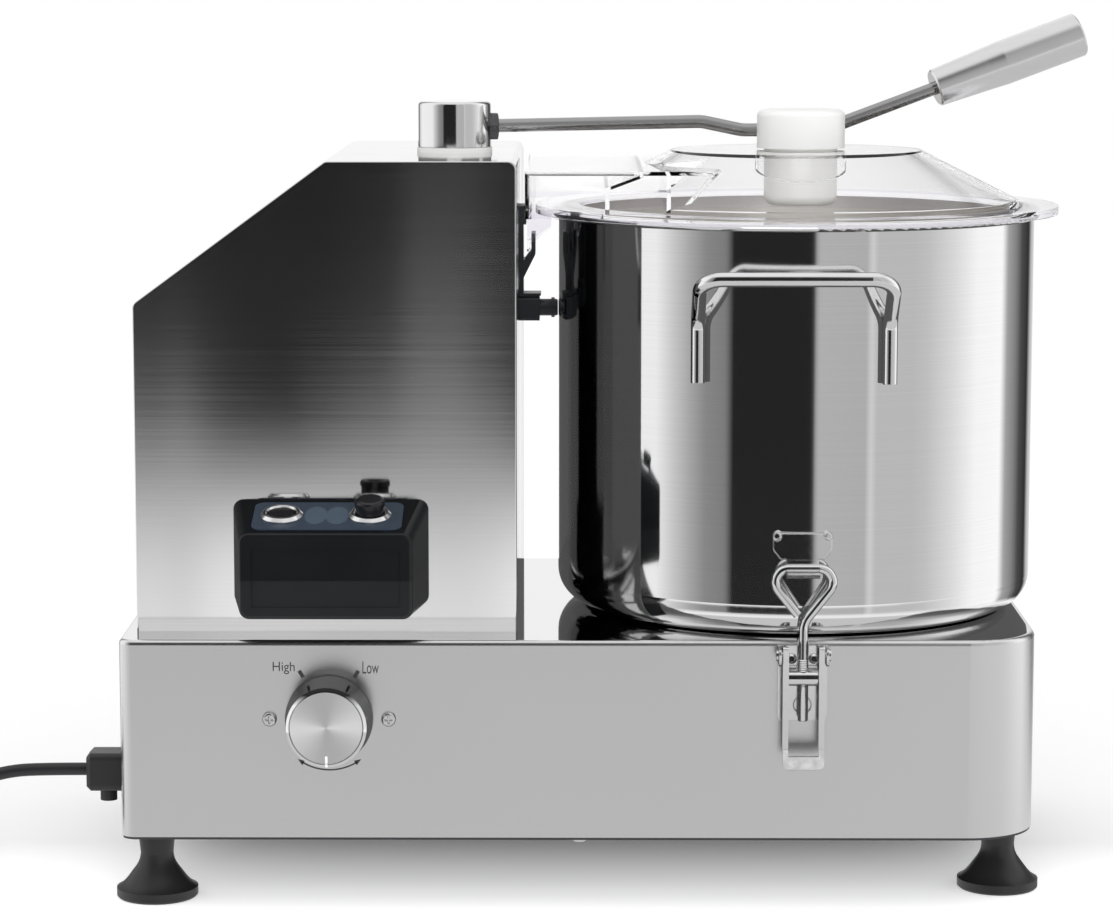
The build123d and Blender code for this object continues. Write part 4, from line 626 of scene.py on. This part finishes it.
def words(text, centre, width, height):
    """A printed word, scaled to its place on the front."""
    data = bpy.data.curves.new("word_" + text, "FONT")
    data.body = text
    word = placed("word_" + text, data)
    bpy.context.view_layer.update()
    mesh = bpy.data.meshes.new_from_object(word)
    bpy.data.objects.remove(word)
    xs, ys = [[v.co[i] for v in mesh.vertices] for i in (0, 1)]
    for v in mesh.vertices:
        right = ((v.co.x - min(xs)) / (max(xs) - min(xs)) - 0.5) * width + centre[0]
        up = ((v.co.y - min(ys)) / (max(ys) - min(ys)) - 0.5) * height + centre[1]
        v.co = on_front(right, up)
    mesh.materials.clear()
    mesh.materials.append(ink)
    marks = placed("word_" + text, mesh)
    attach(marks, "base")


words("High", (-26.3, 30.4), 12.9, 7.3)
words("Low", (24.5, 30.7), 9.6, 7.3)

# ------------------------------------------------------------------ floor and lamp
FLOOR_HALF = 6
# Painted light on the floor: its glow stands in for light that reaches under the base from the front.
FLOOR_PAINTED_LIGHT = (0.12, 0.50)           # strength at the two places below and past them
FLOOR_PAINTED_LIGHT_Y = (0.02, -0.10)        # both under the base, the second nearer to its front


def white_floor():
    """A pale floor that glows a little more towards the camera: painted light under the base, brighter
    nearer its front.
    """
    s = Shader("floor_white")
    s.set(Base_Color=(0.9, 0.9, 0.9, 1), Roughness=0.9, Specular_IOR_Level=0.0, Emission_Color=(1, 1, 1, 1))
    s.drive("Emission Strength", s.ramp(s.place()[1], *FLOOR_PAINTED_LIGHT, *FLOOR_PAINTED_LIGHT_Y))
    corners = [(x * FLOOR_HALF, y * FLOOR_HALF, 0) for x, y in ((-1, -1), (1, -1), (1, 1), (-1, 1))]
    ground = mesh_object("floor", corners, [(0, 1, 2, 3)], s.material)
    ground.location.z = -0.0002
    ground.visible_glossy = False
    ground.visible_transmission = False
    return ground


floor = white_floor()

lamp_data = bpy.data.lights.new("front_soft_box", "AREA")
lamp_data.shape = "RECTANGLE"
lamp_data.size, lamp_data.size_y = 3.0, 1.0
lamp_data.energy = 26
lamp = placed("front_soft_box", lamp_data)
lamp.location = (0, -3.2, 0.75)
lamp.rotation_euler = (math.radians(78), 0, 0)
lamp.visible_glossy = False
lamp.visible_camera = False

# ------------------------------------------------------------------ room
# Light of the walls, by degrees about the part; 0 is in front of it.
WALLS = [
    (-180, 1.0), (-168, 0.95), (-160, 0.55), (-149, 0.08), (-138, 0.75), (-120, 1.05), (-73, 1.0),
    (-63, 0.68), (-54, 0.45), (-46, 0.29), (-36, 0.24), (-32.5, 0.02), (5.5, 0.02), (7.5, 0.52),
    (31, 0.50), (33.4, 0.75), (36.5, 0.58), (55, 0.58), (63, 0.63), (78, 0.83), (94, 1.1), (114, 1.15),
    (120, 0.42), (129, 0.26), (137, 0.08), (149, 0.03), (156, 0.55), (180, 1.0),
]
# Degrees above level over which one part of the room gives way to the next.
APRON_EDGE = (-19.8, -17.2)
WALL_EDGE = (-16.4, -13.4)
CEILING_EDGE = (38.0, 62.0)
LOW_EDGE = (18.0, 34.0)
UPWARD_EDGE = (1.0, 5.0)
FRONT_EDGE = (0.90, 0.94)           # how straight a direction points to the front
FLOOR_LIGHT, APRON_LIGHT, CEILING_LIGHT = 0.64, 1.05, 0.9
SECOND_BOUNCE_DARK, SECOND_BOUNCE_LIGHT = 0.12, 0.95


def wall_light(w, share):
    """The walls as a ramp of greys, along a share of a full turn."""
    around = w.add("ShaderNodeValToRGB")
    ramp = around.color_ramp
    ramp.interpolation = "LINEAR"
    ramp.elements.remove(ramp.elements[-1])
    for index, (angle, light) in enumerate(WALLS):
        place = angle / 360 + 0.5
        stop = ramp.elements[0] if index == 0 else ramp.elements.new(place)
        stop.position = place
        stop.color = (*grey(light), 1)
    w.link(share, around.inputs[0])
    return around.outputs["Color"]


def studio():
    """White to the camera; to reflections a room with soft boxes, dark gaps and a pale floor."""
    world = bpy.data.worlds.new("studio")
    bpy.context.scene.world = world
    world.use_nodes = True
    world.node_tree.nodes.clear()
    w = Nodes(world.node_tree)
    x, y, z = w.parts(w.add("ShaderNodeTexCoord").outputs["Generated"])
    forward = w.math("MULTIPLY", y, -1.0)
    turn = w.math("ARCTAN2", x, forward)
    share = w.math("MULTIPLY_ADD", turn, 1 / (2 * math.pi), 0.5)
    elevation = w.math("MULTIPLY", w.math("ARCSINE", z), 180 / math.pi)
    path = w.add("ShaderNodeLightPath")

    apron = w.blend(w.smooth(elevation, APRON_EDGE), grey(FLOOR_LIGHT), grey(APRON_LIGHT))
    walls = w.blend(w.smooth(elevation, WALL_EDGE), apron, wall_light(w, share))
    room = w.blend(w.smooth(elevation, CEILING_EDGE), walls, grey(CEILING_LIGHT))

    # Metal that is seen in other metal meets a simpler room.
    deep = w.math("GREATER_THAN", path.outputs["Glossy Depth"], 1.5)
    low = w.math("SUBTRACT", 1.0, w.smooth(elevation, LOW_EDGE))
    ahead = w.math("MULTIPLY", w.smooth(elevation, UPWARD_EDGE), w.smooth(forward, FRONT_EDGE))
    second = w.blend(ahead, grey(SECOND_BOUNCE_DARK), grey(SECOND_BOUNCE_LIGHT))
    seen = w.blend(w.math("MULTIPLY", deep, low), room, second)

    for ray in ("Is Diffuse Ray", "Is Transmission Ray", "Is Camera Ray"):
        seen = w.blend(path.outputs[ray], seen, grey(1.0))
    background = w.add("ShaderNodeBackground")
    w.link(seen, background.inputs["Color"])
    output = w.add("ShaderNodeOutputWorld")
    w.link(background.outputs[0], output.inputs["Surface"])


studio()
bpy.context.scene.view_settings.view_transform = "Standard"
